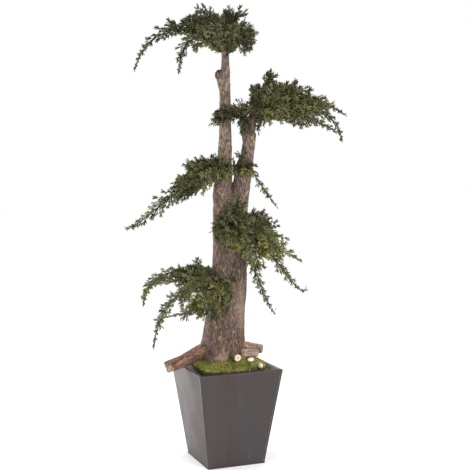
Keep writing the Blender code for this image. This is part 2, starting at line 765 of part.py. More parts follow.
def course(start, normal, spray):
    """Rows along a spray's stem: straight off the bark, then an arch that falls to the tip."""
    turn_off = start + normal * TURN_OFF
    tip = Vector(spray.tip)
    flat = Vector((tip.x - turn_off.x, tip.y - turn_off.y, 0.0))
    lift = turn_off + flat * LIFT_SHARE + Vector((0.0, 0.0, spray.arch))
    hang = tip - flat * HANG_SHARE + Vector((0.0, 0.0, spray.drop))
    end = tip - (tip - hang).normalized() * (TIP_LENGTH - TUFT_SUNK)
    length = (tip - turn_off).length + ARCH_SHARE * abs(spray.arch)
    count = max(3, int(round(length / STEM_STEP)))
    rows = [(*start, STEM_RADIUS)]
    for i in range(count + 1):
        t = i / count
        point = (
            turn_off * (1 - t) ** 3 + lift * 3 * t * (1 - t) ** 2
            + hang * 3 * t**2 * (1 - t) + end * t**3
        )
        rows.append((*point, STEM_RADIUS + (STEM_TIP_RADIUS - STEM_RADIUS) * t))
    return np.array(rows)


def side_direction(tangent, turn):
    """A direction square to the tangent, turned about it, with the spray kept flatter than wide."""
    level = tangent.cross(Vector((0.0, 0.0, 1.0)))
    if level.length < UPRIGHT:
        level = Vector((1.0, 0.0, 0.0))
    level.normalize()
    upward = level.cross(tangent).normalized() * SPRAY_FLATNESS
    return (level * math.cos(turn) + upward * math.sin(turn)).normalized()


class Growth:
    """One spray as it grows: its stem, and the twigs and tufts set on it so far."""

    def __init__(self, name, spray, rows, stem, rng):
        self.name = name
        self.spray = spray
        self.stem = stem
        self.points = [Vector(row[:3]) for row in rows]
        self.length = sum((b - a).length for a, b in zip(self.points, self.points[1:]))
        self.count = max(3, int(round(self.length / TWIG_SPACING)))
        self.turn = rng.uniform(0.0, math.tau)
        self.pieces = []

    def offer(self, piece, space):
        """Keep the piece if it is clear of all other nodes, or remove it."""
        solid = Solid(piece.data)
        if space.is_clear(self.name, solid):
            space.add(self.name, solid)
            self.pieces.append(piece)
            return True
        bpy.data.objects.remove(piece, do_unlink=True)
        return False

    def add_tip(self, space, scratch):
        """The tuft that ends the stem, whose longest finger reaches the spray's tip."""
        heading = (self.points[-1] - self.points[-2]).normalized()
        root = self.points[-1] - heading * TUFT_SUNK
        reach = Vector(self.spray.tip) - root
        for attempt in range(TIP_TRIES):
            roll = self.turn + attempt * math.pi / TIP_TRIES
            if self.offer(tuft(self.name + "_tip", root, reach, roll, reach.length, scratch), space):
                return

    def add_core(self, space, scratch):
        """The slim core of close foliage round the middle of the stem, smaller where it must be."""
        place, tangent = along(self.points, CORE_PLACE)
        half_length = min(self.length * CORE_HALF_LENGTH, CORE_LONGEST)
        half_width = self.spray.spread * CORE_WIDTH
        for attempt in range(CORE_TRIES):
            size = CORE_SHRINK**attempt
            halves = (half_width * size, half_width * size * CORE_FLATNESS, half_length * size)
            if self.offer(core(self.name + "_core", place, tangent, halves, scratch), space):
                return

    def add_twig(self, k, profile, space, scratch, rng):
        """The twig at the k-th place along the stem, with a tuft at its end."""
        share = FIRST_TWIG + TWIG_RANGE * (k + 0.5) / self.count
        place, tangent = along(self.points, share)
        swell = math.sin(math.pi * min(share * SPREAD_PLACE, 1.0))
        width = self.spray.spread * (SPREAD_LEAST + SPREAD_SWELL * swell)
        self.turn += GOLDEN_ANGLE
        for attempt in range(TWIG_TRIES):
            aside = side_direction(tangent, self.turn + attempt * RETRY_TURN)
            heading = tangent * math.cos(TWIG_ANGLE) + aside * math.sin(TWIG_ANGLE)
            heading.z -= TWIG_SAG * share
            heading.normalize()
            size = TUFT_LENGTH * (1 - TUFT_TAPER * share)
            size *= rng.uniform(1 - TUFT_VARIATION, 1 + TUFT_VARIATION)
            end = place + heading * width * rng.uniform(SHORTEST_TWIG, 1.0)
            root = end - heading * TUFT_SUNK
            roll = rng.uniform(0, math.pi)
            leaves = tuft(f"{self.name}_tuft_{k}", root, heading, roll, size, scratch)
            if not self.offer(leaves, space):
                continue
            rows = [(*place, TWIG_RADIUS), (*end, TWIG_TIP_RADIUS)]
            twig = tube(f"{self.name}_twig_{k}", rows, scratch, profile=profile)
            if self.offer(twig, space):
                return
            space.drop_last()
            bpy.data.objects.remove(self.pieces.pop(), do_unlink=True)


def along(points, share):
    """The place and heading at that share of a line's length."""
    lengths = [(b - a).length for a, b in zip(points, points[1:])]
    left = share * sum(lengths)
    for i, step in enumerate(lengths):
        if left <= step or i == len(lengths) - 1:
            heading = points[i + 1] - points[i]
            return points[i] + heading * (left / step), heading.normalized()
        left -= step


def largest_island(mesh):
    """Keep only the largest connected body of the mesh."""
    bm = bmesh.new()
    bm.from_mesh(mesh)
    seen = set()
    islands = []
    for face in bm.faces:
        if face.index in seen:
            continue
        island = []
        stack = [face]
        seen.add(face.index)
        while stack:
            at = stack.pop()
            island.append(at)
            for edge in at.edges:
                for other in edge.link_faces:
                    if other.index not in seen:
                        seen.add(other.index)
                        stack.append(other)
        islands.append(island)
    islands.sort(key=len)
    scraps = [face for island in islands[:-1] for face in island]
    bmesh.ops.delete(bm, geom=scraps, context="FACES")
    bm.to_mesh(mesh)
    bm.free()


def fuse(name, stem, pieces, parts):
    """Join a stem with its twigs and leaves into one body."""
    bunch = bpy.data.collections.new(name + "_pieces")
    for piece in pieces:
        bunch.objects.link(piece)
    union = stem.modifiers.new("union", "BOOLEAN")
    union.operation = "UNION"
    union.operand_type = "COLLECTION"
    union.collection = bunch
    union.solver = "MANIFOLD"
    mesh = evaluated_mesh(stem)
    mesh.name = name
    largest_island(mesh)
    for piece in pieces:
        bpy.data.objects.remove(piece, do_unlink=True)
    bpy.data.objects.remove(stem, do_unlink=True)
    bpy.data.collections.remove(bunch)
    spray = add_object(name, mesh, parts)
    dress(spray, LEAF_GREEN)
    return spray


def ring_spray(pad, azimuth):
    """A spray that fills the pad towards that azimuth."""
    angle = math.radians(azimuth)
    centre = Vector(pad.centre)
    half = Vector(pad.half)
    out = Vector((half.x * math.cos(angle), half.y * math.sin(angle), -RING_FALL * half.z))
    tip = tuple(centre + out)
    return Spray(pad.limb, pad.height, azimuth, tip, half.z, RING_DROP * half.z, RING_SPREAD)


def pad_sprays():
    """Every spray of every pad, by the name of its node."""
    sprays = {}
    for pad_name, pad in PADS.items():
        for spray_name, spray in pad.sprays.items():
            sprays[f"{pad_name}_{spray_name}"] = spray
        for i, azimuth in enumerate(pad.ring):
            sprays[f"{pad_name}_filler_{i + 1}"] = ring_spray(pad, azimuth)
    return sprays


def three_sided_profile(collection):
    """A flat curve with three corners, the section of every twig."""
    curve = bpy.data.curves.new("three_sides", "CURVE")
    curve.dimensions = "2D"
    spline = curve.splines.new("POLY")
    spline.points.add(2)
    for i, point in enumerate(spline.points):
        angle = -math.tau * i / 3
        point.co = (math.cos(angle), math.sin(angle), 0.0, 1.0)
    spline.use_cyclic_u = True
    return add_object("three_sides", curve, collection)


def build_foliage(parts, cutters, wood):
    """Every spray, its stem set 0.3 mm off the bark and all of it clear of its neighbours."""
    rng = random.Random(SEED)
    profile = three_sided_profile(cutters)
    axes = {
        "trunk": [(x, y, z) for z, x, y, _, _ in TRUNK_STATIONS],
        "left_stem": LEFT_STEM,
        "right_stem": RIGHT_STEM,
        "right_bough": RIGHT_BOUGH,
        "left_bough": LEFT_BOUGH,
    }
    space = Space()
    limbs = {name: Solid(limb.data) for name, limb in wood.items()}
    for name, solid in limbs.items():
        space.add(name, solid)
    growths = []
    for name, spray in pad_sprays().items():
        place, normal = surface_point(limbs[spray.limb], axes[spray.limb], spray.height, spray.azimuth)
        rows = course(seat(limbs[spray.limb], place, normal), normal, spray)
        stem = tube(name + "_stem", rows, cutters, profile=profile)
        space.add(name, Solid(stem.data))
        growths.append(Growth(name, spray, rows, stem, rng))
    for growth in growths:
        growth.add_tip(space, cutters)
    for growth in growths:
        growth.add_core(space, cutters)
    for k in range(max(growth.count for growth in growths)):
        for growth in growths:
            if k < growth.count:
                growth.add_twig(k, profile, space, cutters, rng)
    return {growth.name: fuse(growth.name, growth.stem, growth.pieces, parts) for growth in growths}


def hide_cutters(cutters):
    """Mark what only shapes other pieces."""
    for thing in cutters.objects:
        thing.hide_render = True
        thing.display_type = "WIRE"


def main():
    """Build the planter with its tree."""
    clear_scene()
    parts = new_collection("preserved_juniper")
    cutters = new_collection("cutters")
    build_planter(parts)
    build_fill(parts)
    wood, grown = build_wood(parts, cutters)
    foliage = build_foliage(parts, cutters, wood)
    tree_frame = add_object("tree_frame", None, parts)
    tree_frame.rotation_euler.z = TREE_TURN
    for thing in (*wood.values(), *grown.values(), *foliage.values()):
        thing.parent = tree_frame
    bpy.context.view_layer.update()
    pebbles = build_pebbles(parts)
    build_moss(parts, cutters, grown, pebbles)
    hide_cutters(cutters)


main()
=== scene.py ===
"""A preserved juniper in a tapered planter of patinated sheet metal.

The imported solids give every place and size, in metres with +Z up. Each mass of foliage is grown
again here by its own rule, carried on to finer twigs and scale leaves. The tree is described
across, in depth and up, as it is looked at, and its frame is turned in the planter by TREE_TURN.
"""

import logging
import math
import random
from collections.abc import Callable, Iterator
from contextlib import contextmanager
from dataclasses import dataclass, field, replace
from enum import Enum
from functools import cached_property
from typing import ClassVar

import bmesh
import bpy
import numpy as np
from mathutils import Matrix, Vector, noise
from mathutils.bvhtree import BVHTree


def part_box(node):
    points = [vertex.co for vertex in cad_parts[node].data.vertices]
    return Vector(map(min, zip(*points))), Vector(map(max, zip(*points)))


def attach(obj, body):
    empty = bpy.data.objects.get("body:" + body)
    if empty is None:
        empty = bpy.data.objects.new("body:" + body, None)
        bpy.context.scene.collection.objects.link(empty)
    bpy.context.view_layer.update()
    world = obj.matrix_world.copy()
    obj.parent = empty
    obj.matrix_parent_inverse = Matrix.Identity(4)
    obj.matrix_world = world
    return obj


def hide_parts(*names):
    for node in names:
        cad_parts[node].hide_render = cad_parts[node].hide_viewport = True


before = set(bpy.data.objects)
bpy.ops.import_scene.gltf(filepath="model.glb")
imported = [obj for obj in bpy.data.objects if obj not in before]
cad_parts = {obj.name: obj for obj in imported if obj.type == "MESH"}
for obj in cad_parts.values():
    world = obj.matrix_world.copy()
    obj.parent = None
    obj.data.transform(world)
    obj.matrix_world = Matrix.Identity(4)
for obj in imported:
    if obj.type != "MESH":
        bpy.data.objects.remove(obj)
log = logging.getLogger("preserved_juniper")

TREE_TURN = math.radians(-22)
TURN = Matrix.Rotation(TREE_TURN, 4, "Z")
TURN_ROWS = np.array(TURN.to_3x3())
GOLDEN_ANGLE = math.radians(137.5)
MM = 0.001
# The Mix node's inputs and its colour output, which share their names.
FACTOR, VALUE_A, VALUE_B, COLOUR_A, COLOUR_B, COLOUR_OUT = 0, 2, 3, 6, 7, 2

Pair = tuple[float, float]
Triple = tuple[float, float, float]
Arrays = tuple[np.ndarray, np.ndarray]


# Colours, materials and small mesh tools


def srgb(code: str) -> tuple[float, float, float, float]:
    """Turn an sRGB hex colour into a linear one.

    Args:
        code: The colour as six hex digits after a hash sign.

    Returns:
        Linear red, green and blue, and an alpha of 1.
    """
    parts = [int(code[i:i + 2], 16) / 255 for i in (1, 3, 5)]
    red, green, blue = (v / 12.92 if v <= 0.04045 else ((v + 0.055) / 1.055) ** 2.4 for v in parts)
    return (red, green, blue, 1.0)


def per(repeat_mm: float) -> float:
    """Give a pattern's scale from the real size of one repeat in millimetres."""
    return 1 / (repeat_mm * MM)


class Look:
    """A material in the making: its Principled BSDF and the nodes that feed it."""

    def __init__(self, name: str, base: str, roughness: float, metallic: float = 0.0) -> None:
        """Start the material.

        Args:
            name: Its name.
            base: Its base colour as a hex code.
            roughness: Its roughness.
            metallic: Its metallic value.
        """
        self.material = bpy.data.materials.new(name)
        self.material.use_nodes = True
        self.tree = self.material.node_tree
        self.shader = self.tree.nodes["Principled BSDF"]
        self.shader.inputs["Base Color"].default_value = srgb(base)
        self.shader.inputs["Roughness"].default_value = roughness
        self.shader.inputs["Metallic"].default_value = metallic

    @cached_property
    def place(self) -> bpy.types.NodeSocket:
        """Give the places that its patterns are laid out by."""
        return self.add("TexCoord").outputs["Object"]

    def add(self, kind: str, settings: dict | None = None, links: dict | None = None
            ) -> bpy.types.Node:
        """Add a node with its settings and links.

        Args:
            kind: The node's type, without the words ShaderNode.
            settings: Values by property or by input, and a ramp's stops as pairs of a place from
                0 to 1 and a hex colour.
            links: What feeds each input: a socket, or a node for its first output.

        Returns:
            The new node.
        """
        node = self.tree.nodes.new("ShaderNode" + kind)
        for key, value in (settings or {}).items():
            if key == "stops":
                elements = node.color_ramp.elements
                while len(elements) < len(value):
                    elements.new(0.5)
                for element, (place, code) in zip(elements, value):
                    element.position = place
                    element.color = srgb(code)
            elif isinstance(key, int) or key in node.inputs:
                node.inputs[key].default_value = value
            else:
                setattr(node, key, value)
        for key, source in (links or {}).items():
            self.link(source, node.inputs[key])
        return node

    def link(self, source: bpy.types.Node | bpy.types.NodeSocket,
             end: bpy.types.NodeSocket) -> None:
        """Link a socket, or a node's first output, to an input."""
        output = source.outputs[0] if isinstance(source, bpy.types.Node) else source
        self.tree.links.new(output, end)

    def feed(self, **sources: bpy.types.Node | bpy.types.NodeSocket) -> bpy.types.Material:
        """Finish the material by linking what feeds its shader.

        Args:
            sources: The sources, by input name with underscores for spaces.

        Returns:
            The material.
        """
        for name, source in sources.items():
            self.link(source, self.shader.inputs[name.replace("_", " ").title()])
        return self.material


def activate(*things: bpy.types.Object) -> None:
    """Select these objects alone and make the first one active.

    Args:
        things: The objects.
    """
    bpy.ops.object.select_all(action="DESELECT")
    for thing in things:
        thing.select_set(True)
    bpy.context.view_layer.objects.active = things[0]


@contextmanager
def editing(thing: bpy.types.Object, kind: str = "FACE") -> Iterator[None]:
    """Hold the object in edit mode with everything selected.

    Args:
        thing: The object to edit.
        kind: What is selected in it: VERT, EDGE or FACE.

    Yields:
        Nothing.
    """
    activate(thing)
    bpy.ops.object.mode_set(mode="EDIT")
    bpy.ops.mesh.select_mode(type=kind)
    bpy.ops.mesh.select_all(action="SELECT")
    yield
    bpy.ops.object.mode_set(mode="OBJECT")


def pick(thing: bpy.types.Object, test: Callable[[bmesh.types.BMFace], bool]) -> None:
    """Select only the faces that pass a test, in edit mode.

    Args:
        thing: The object in edit mode.
        test: Says of a face whether it is selected.
    """
    bpy.ops.mesh.select_all(action="DESELECT")
    shape = bmesh.from_edit_mesh(thing.data)
    shape.normal_update()
    for face in shape.faces:
        face.select_set(bool(test(face)))
    shape.select_flush_mode()
    bmesh.update_edit_mesh(thing.data)


def apply_modifier(thing: bpy.types.Object, kind: str, **settings: object) -> None:
    """Add a modifier to the object and apply it.

    Args:
        thing: The object.
        kind: The modifier's type.
        settings: Its settings by name.
    """
    activate(thing)
    bpy.ops.object.modifier_add(type=kind)
    modifier = thing.modifiers[-1]
    for key, value in settings.items():
        setattr(modifier, key, value)
    bpy.ops.object.modifier_apply(modifier=modifier.name)


def set_origin(thing: bpy.types.Object) -> None:
    """Move the object's place into its mesh, so that the object sits at the origin."""
    activate(thing)
    bpy.ops.object.transform_apply(location=True, rotation=True, scale=True)


def take_up(scale: Triple = (1.0, 1.0, 1.0)) -> bpy.types.Object:
    """Take up the primitive that was just added, at its size and place.

    Args:
        scale: Its scale on each axis.

    Returns:
        Its object.
    """
    thing = bpy.context.object
    thing.scale = scale
    set_origin(thing)
    return thing


def finish_piece(thing: bpy.types.Object, name: str, material: bpy.types.Material,
                 replaces: tuple[str, ...] = ()) -> None:
    """Name a finished piece, dress it and set it in the frame.

    Args:
        thing: The piece's object.
        name: The piece's name.
        material: Its material.
        replaces: The nodes that it stands for.
    """
    thing.name = name
    thing.data.name = name
    thing.data.materials.clear()
    thing.data.materials.append(material)
    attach(thing, "root")
    if replaces:
        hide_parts(*replaces)
    log.info("%s: %d faces", name, len(thing.data.polygons))


def copy_nodes(*names: str) -> bpy.types.Object:
    """Copy solids of the frame into one object, with the corners of each merged.

    Args:
        names: The nodes to copy.

    Returns:
        The joined copy.
    """
    copies = [bpy.data.objects.new("copy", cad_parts[name].data.copy()) for name in names]
    for thing in copies:
        bpy.context.collection.objects.link(thing)
    activate(*reversed(copies))
    if len(copies) > 1:
        bpy.ops.object.join()
    with editing(copies[-1], "VERT"):
        bpy.ops.mesh.remove_doubles(threshold=0.02 * MM)
    return copies[-1]


def mesh_from_arrays(points: np.ndarray, triangles: np.ndarray) -> bpy.types.Object:
    """Make a smooth object of many small parts from arrays.

    Args:
        points: One row of x, y and z for each point.
        triangles: One row of three point numbers for each triangle.

    Returns:
        The new object.
    """
    mesh = bpy.data.meshes.new("parts")
    mesh.vertices.add(len(points))
    mesh.vertices.foreach_set("co", points.astype(np.float32).ravel())
    mesh.loops.add(triangles.size)
    mesh.loops.foreach_set("vertex_index", triangles.astype(np.int32).ravel())
    mesh.polygons.add(len(triangles))
    mesh.polygons.foreach_set("loop_start", np.arange(0, triangles.size, 3, dtype=np.int32))
    mesh.polygons.foreach_set("use_smooth", np.ones(len(triangles), dtype=bool))
    mesh.update(calc_edges=True)
    thing = bpy.data.objects.new("parts", mesh)
    bpy.context.collection.objects.link(thing)
    return thing


def set_values(thing: bpy.types.Object, grain: np.ndarray | None = None,
               **values: np.ndarray) -> None:
    """Store values on an object's points for its material to read.

    Args:
        thing: The object.
        grain: The places that a pattern is laid out by, one row for each point.
        values: One number for each point, by attribute name.
    """
    for name, numbers in values.items():
        layer = thing.data.attributes.new(name, "FLOAT", "POINT")
        layer.data.foreach_set("value", numbers.astype(np.float32))
    if grain is not None:
        layer = thing.data.attributes.new("grain", "FLOAT_VECTOR", "POINT")
        layer.data.foreach_set("vector", grain.astype(np.float32).ravel())


def points_of(thing: bpy.types.Object, what: str = "co") -> np.ndarray:
    """Read the places or the normals of an object's points.

    Args:
        thing: The object.
        what: The property to read, co or normal.

    Returns:
        One row for each point.
    """
    rows = np.empty(len(thing.data.vertices) * 3, dtype=np.float32)
    thing.data.vertices.foreach_get(what, rows)
    return rows.reshape(-1, 3).astype(float)


def set_points(thing: bpy.types.Object, points: np.ndarray) -> None:
    """Move an object's points to new places."""
    thing.data.vertices.foreach_set("co", points.astype(np.float32).ravel())
    thing.data.update()


def shade_smooth(thing: bpy.types.Object) -> None:
    """Shade the whole object smooth."""
    activate(thing)
    bpy.ops.object.shade_smooth()


def unit(rows: np.ndarray) -> np.ndarray:
    """Scale each row to a length of 1."""
    return rows / np.maximum(np.linalg.norm(rows, axis=-1, keepdims=True), 1e-12)


def to_row(points: np.ndarray) -> np.ndarray:
    """Turn points from the tree's own frame into the planter's."""
    return points @ TURN_ROWS.T


def to_own(points: np.ndarray) -> np.ndarray:
    """Turn points from the planter's frame back into the tree's own."""
    return points @ TURN_ROWS


def noise_at(points: np.ndarray) -> np.ndarray:
    """Read smooth noise of one unit to a lump at points, from about -1 to 1."""
    return np.array([noise.noise(Vector(row)) for row in points])


# Finishes


@dataclass(frozen=True)
class PatinatedSheet:
    """Zinc-coated steel sheet, darkened with a rubbed bronze patina: a soft satin metal with
    broad upright streaks of brown, grey and slate, and a rougher bloom where the rag passed."""

    streak_width_mm: float = 55.0
    streak_length_mm: float = 480.0
    bloom_mm: float = 150.0
    grain_mm: float = 1.6
    grain_height_mm: float = 0.2
    roughness: float = 0.44
    metallic: float = 0.72

    def material(self) -> bpy.types.Material:
        """Make the material.

        Returns:
            The material.
        """
        look = Look("patinated_zinc_sheet", "#4f4846", self.roughness, self.metallic)
        across, along = per(self.streak_width_mm), per(self.streak_length_mm)
        drawn_out = look.add("Mapping", {"Scale": (across, across, along)}, {0: look.place})
        streaks = look.add("TexNoise", {"Scale": 1.0, "Detail": 3.0, "Roughness": 0.55},
                           {"Vector": drawn_out})
        bloom, grain = (look.add("TexNoise", {"Scale": per(size), "Detail": detail},
                                 {"Vector": look.place})
                        for size, detail in ((self.bloom_mm, 4.0), (self.grain_mm, 2.0)))
        both = look.add("Mix", {"data_type": "FLOAT", FACTOR: 0.42},
                        {VALUE_A: streaks, VALUE_B: bloom})
        colour = look.add("ValToRGB", {"stops": (
            (0.30, "#433b37"), (0.42, "#4a413d"), (0.50, "#4a4342"), (0.60, "#484445"),
            (0.72, "#504b4b"))}, {0: both})
        rough = look.add("MapRange", {"From Min": 0.3, "From Max": 0.7,
                                      "To Min": self.roughness - 0.07,
                                      "To Max": self.roughness + 0.10}, {0: bloom})
        bump = look.add("Bump", {"Strength": 0.10, "Distance": self.grain_height_mm * MM},
                        {"Height": grain})
        return look.feed(base_color=colour, roughness=rough, normal=bump)


@dataclass(frozen=True)
class Mottled:
    """A dull surface whose colour drifts over patches of one size."""

    name: str
    base: str
    roughness: float
    patch_mm: float
    detail: float
    stops: tuple[tuple[float, str], ...]
    metallic: float = 0.0

    def material(self) -> bpy.types.Material:
        """Make the material.

        Returns:
            The material.
        """
        look = Look(self.name, self.base, self.roughness, self.metallic)
        patches = look.add("TexNoise", {"Scale": per(self.patch_mm), "Detail": self.detail},
                           {"Vector": look.place})
        return look.feed(base_color=look.add("ValToRGB", {"stops": self.stops}, {0: patches}))


# The same sheet inside, where no patina was rubbed on: grey zinc with a dull bloom, made paler
# than the bare metal as painted light on the inner walls, which lie in shadow.
BARE_SHEET_WITH_PAINTED_LIGHT = Mottled("bare_zinc_sheet", "#e0ddd9", 0.60, 22.0, 4.0,
                     ((0.35, "#d2cfcb"), (0.65, "#ebe9e6")), metallic=0.10)
# The thin bark of young twigs: brown, smooth and dull.
TWIG_BARK = Mottled("young_twig_bark", "#4d3f30", 0.8, 9.0, 2.0,
                    ((0.35, "#3b3326"), (0.65, "#665440")))
# Tumbled white stone: smooth and softly shining, with faint grey veins.
WHITE_STONE = Mottled("tumbled_white_stone", "#d6d1c3", 0.42, 11.0, 5.0,
                      ((0.35, "#b3ad9e"), (0.5, "#d0cbbc"), (0.7, "#dfdacd")))


@dataclass(frozen=True)
class DryFill:
    """Loose grey-brown packing under the moss: dull and coarse."""

    crumb_mm: float = 5.0
    crumb_height_mm: float = 3.0

    def material(self) -> bpy.types.Material:
        """Make the material.

        Returns:
            The material.
        """
        look = Look("dry_bark_packing", "#7a7064", 0.95)
        crumbs = look.add("TexVoronoi", {"Scale": per(self.crumb_mm)}, {"Vector": look.place})
        colour = look.add("ValToRGB", {"stops": (
            (0.2, "#5a5148"), (0.6, "#7f766a"), (0.9, "#9c9386"))}, {0: crumbs.outputs["Color"]})
        bump = look.add("Bump", {"Strength": 0.9, "Distance": self.crumb_height_mm * MM},
                        {"Height": crumbs})
        return look.feed(base_color=colour, normal=bump)


@dataclass(frozen=True)
class JuniperBark:
    """Dry juniper bark: short upright flakes, grey-brown and bleached on their crests, rusty here
    and there where they have come off, dark down in the furrows, with no shine, and darker towards
    the bottom. Where it is worn bare the smooth tan wood shows, and old wounds are stained
    purple-brown. The same tan also paints a highlight on the trunk's lit right side, and the same
    purple-brown paints shade under the pads, in the fork and beside the broken snag top."""

    name: str = "dry_juniper_bark"
    furrow: str = "#2c2320"
    flank: str = "#655a52"
    crest: str = "#958d84"
    bleached: str = "#b5ada2"
    worn: str = "#ad947b"
    stain: str = "#5a4746"
    knot: str = "#34261f"
    fibre_mm: float = 2.6
    fibre_height_mm: float = 1.6
    flake_mm: float = 4.4
    patch_mm: float = 55.0
    # The bark is darker towards the bottom: most at the first of these heights, not at all above
    # the second.
    darkest_below: float = 0.45
    lightest_above: float = 1.45

    def material(self) -> bpy.types.Material:
        """Make the material.

        Returns:
            The material.
        """
        look = Look(self.name, self.flank, 0.88)
        grain, relief, worn, stain, knot = (
            look.add("Attribute", {"attribute_name": name}).outputs[kind] for name, kind in (
                ("grain", "Vector"), ("relief", "Fac"), ("worn", "Fac"), ("stain", "Fac"),
                ("knot", "Fac")))
        fibres = look.add("TexNoise", {"Scale": per(self.fibre_mm), "Detail": 3.0,
                                       "Roughness": 0.6}, {"Vector": grain})
        patches = look.add("TexNoise", {"Scale": per(self.patch_mm), "Detail": 3.0},
                           {"Vector": look.place})
        flakes = look.add("TexVoronoi", {"Scale": per(self.flake_mm)}, {"Vector": grain})
        each_flake = look.add("SeparateColor", links={0: flakes.outputs["Color"]})
        # A ramp by height darkens the bark towards the bottom.
        up = look.add("SeparateXYZ", links={0: look.place}).outputs["Z"]
        rise = look.add("MapRange", {"From Min": self.darkest_below, "From Max": self.lightest_above}, {0: up})
        height = look.add("Mix", {"data_type": "FLOAT", FACTOR: 0.38},
                          {VALUE_A: relief, VALUE_B: fibres})
        colour, warmth, flaked, low_darkening = (
            look.add("ValToRGB", {"stops": stops}, {0: source}) for source, stops in (
                (height, ((0.22, self.furrow), (0.42, self.flank), (0.60, self.crest),
                          (0.80, self.bleached))),
                (patches, ((0.35, "#cfc4c4"), (0.65, "#ffeedd"))),
                (each_flake, ((0.10, "#a89c94"), (0.35, "#ffffff"), (0.62, "#e2ddda"),
                              (0.90, "#d6b497"))),
                (rise, ((0.0, "#cfbfbb"), (1.0, "#ffffff")))))
        for layer, amount in ((warmth, 0.9), (flaked, 0.75), (low_darkening, 1.0)):
            colour = look.add("Mix", {"data_type": "RGBA", "blend_type": "MULTIPLY",
                                      FACTOR: amount},
                              {COLOUR_A: colour, COLOUR_B: layer}).outputs[COLOUR_OUT]
        # The wear tint lays both real wear and a painted highlight; the stain tint lays both real
        # stains and painted shade.
        for mask, tint, strength in ((worn, self.worn, 0.55), (stain, self.stain, 0.66),
                                     (knot, self.knot, 0.85)):
            much = look.add("Math", {"operation": "MULTIPLY", 1: strength}, {0: mask})
            colour = look.add("Mix", {"data_type": "RGBA", COLOUR_B: srgb(tint)},
                              {FACTOR: much, COLOUR_A: colour}).outputs[COLOUR_OUT]
        bump = look.add("Bump", {"Strength": 0.7, "Distance": self.fibre_height_mm * MM},
                        {"Height": fibres})
        return look.feed(base_color=colour, normal=bump)


@dataclass(frozen=True)
class SawnEnd:
    """The sawn end of a dry limb: wood with fine brown growth rings and a few saw marks, pale where
    the cut is fresh and greyed to tan where it has weathered."""

    name: str = "sawn_juniper_end"
    early: str = "#efe6d3"
    middle: str = "#d9c8ab"
    late: str = "#8d7355"
    ring_mm: float = 3.4
    ring_height_mm: float = 0.5
    heart_mm: float = 5.0
    wobble_mm: float = 14.0
    wobble_depth_mm: float = 5.0

    def material(self) -> bpy.types.Material:
        """Make the material.

        Returns:
            The material.
        """
        look = Look(self.name, self.middle, 0.75)
        radius = look.add("Attribute", {"attribute_name": "ring"}).outputs["Fac"]
        wobble = look.add("TexNoise", {"Scale": per(self.wobble_mm), "Detail": 2.0},
                          {"Vector": look.place})
        shifted = look.add("Math", {"operation": "MULTIPLY_ADD", 1: self.wobble_depth_mm * MM},
                           {0: wobble, 2: radius})
        wave = look.add("Math", {"operation": "MULTIPLY", 1: math.tau / (self.ring_mm * MM)},
                        {0: shifted})
        rings = look.add("MapRange", {"From Min": -1.0, "From Max": 1.0},
                         {0: look.add("Math", {"operation": "SINE"}, {0: wave})})
        colour = look.add("ValToRGB", {"stops": (
            (0.0, self.early), (0.60, self.middle), (1.0, self.late))}, {0: rings})
        heart = look.add("MapRange", {"From Min": self.heart_mm * MM,
                                      "From Max": 2 * self.heart_mm * MM,
                                      "To Min": 0.8, "To Max": 0.0}, {0: shifted})
        colour = look.add("Mix", {"data_type": "RGBA", COLOUR_B: srgb(self.late)},
                          {FACTOR: heart, COLOUR_A: colour}).outputs[COLOUR_OUT]
        bump = look.add("Bump", {"Strength": 0.3, "Distance": self.ring_height_mm * MM},
                        {"Height": rings})
        return look.feed(base_color=colour, normal=bump)


@dataclass(frozen=True)
class ScaleLeaf:
    """Preserved scale leaves, soaked in glycerine and dye: matt, a little waxy, of one tint that
    is dealt out from a least amount of light."""

    name: str
    colour: str
    least_light: float = -math.inf
    scale_mm: float = 2.2
    scale_height_mm: float = 0.6

    def material(self) -> bpy.types.Material:
        """Make the material.

        Returns:
            The material.
        """
        look = Look("scale_leaves_" + self.name, self.colour, 0.62)
        look.shader.inputs["Specular IOR Level"].default_value = 0.18
        scales = look.add("TexVoronoi", {"Scale": per(self.scale_mm)}, {"Vector": look.place})
        return look.feed(normal=look.add(
            "Bump", {"Strength": 0.45, "Distance": self.scale_height_mm * MM}, {"Height": scales}))


def dried_moss(name: str, colour: str, edge: str) -> Mottled:
    """Describe preserved sheet moss: short felted fronds of one tint, quite matt."""
    return Mottled("dried_moss_" + name, colour, 0.9, 16.0, 3.0, ((0.38, edge), (0.55, colour)))


# The planter


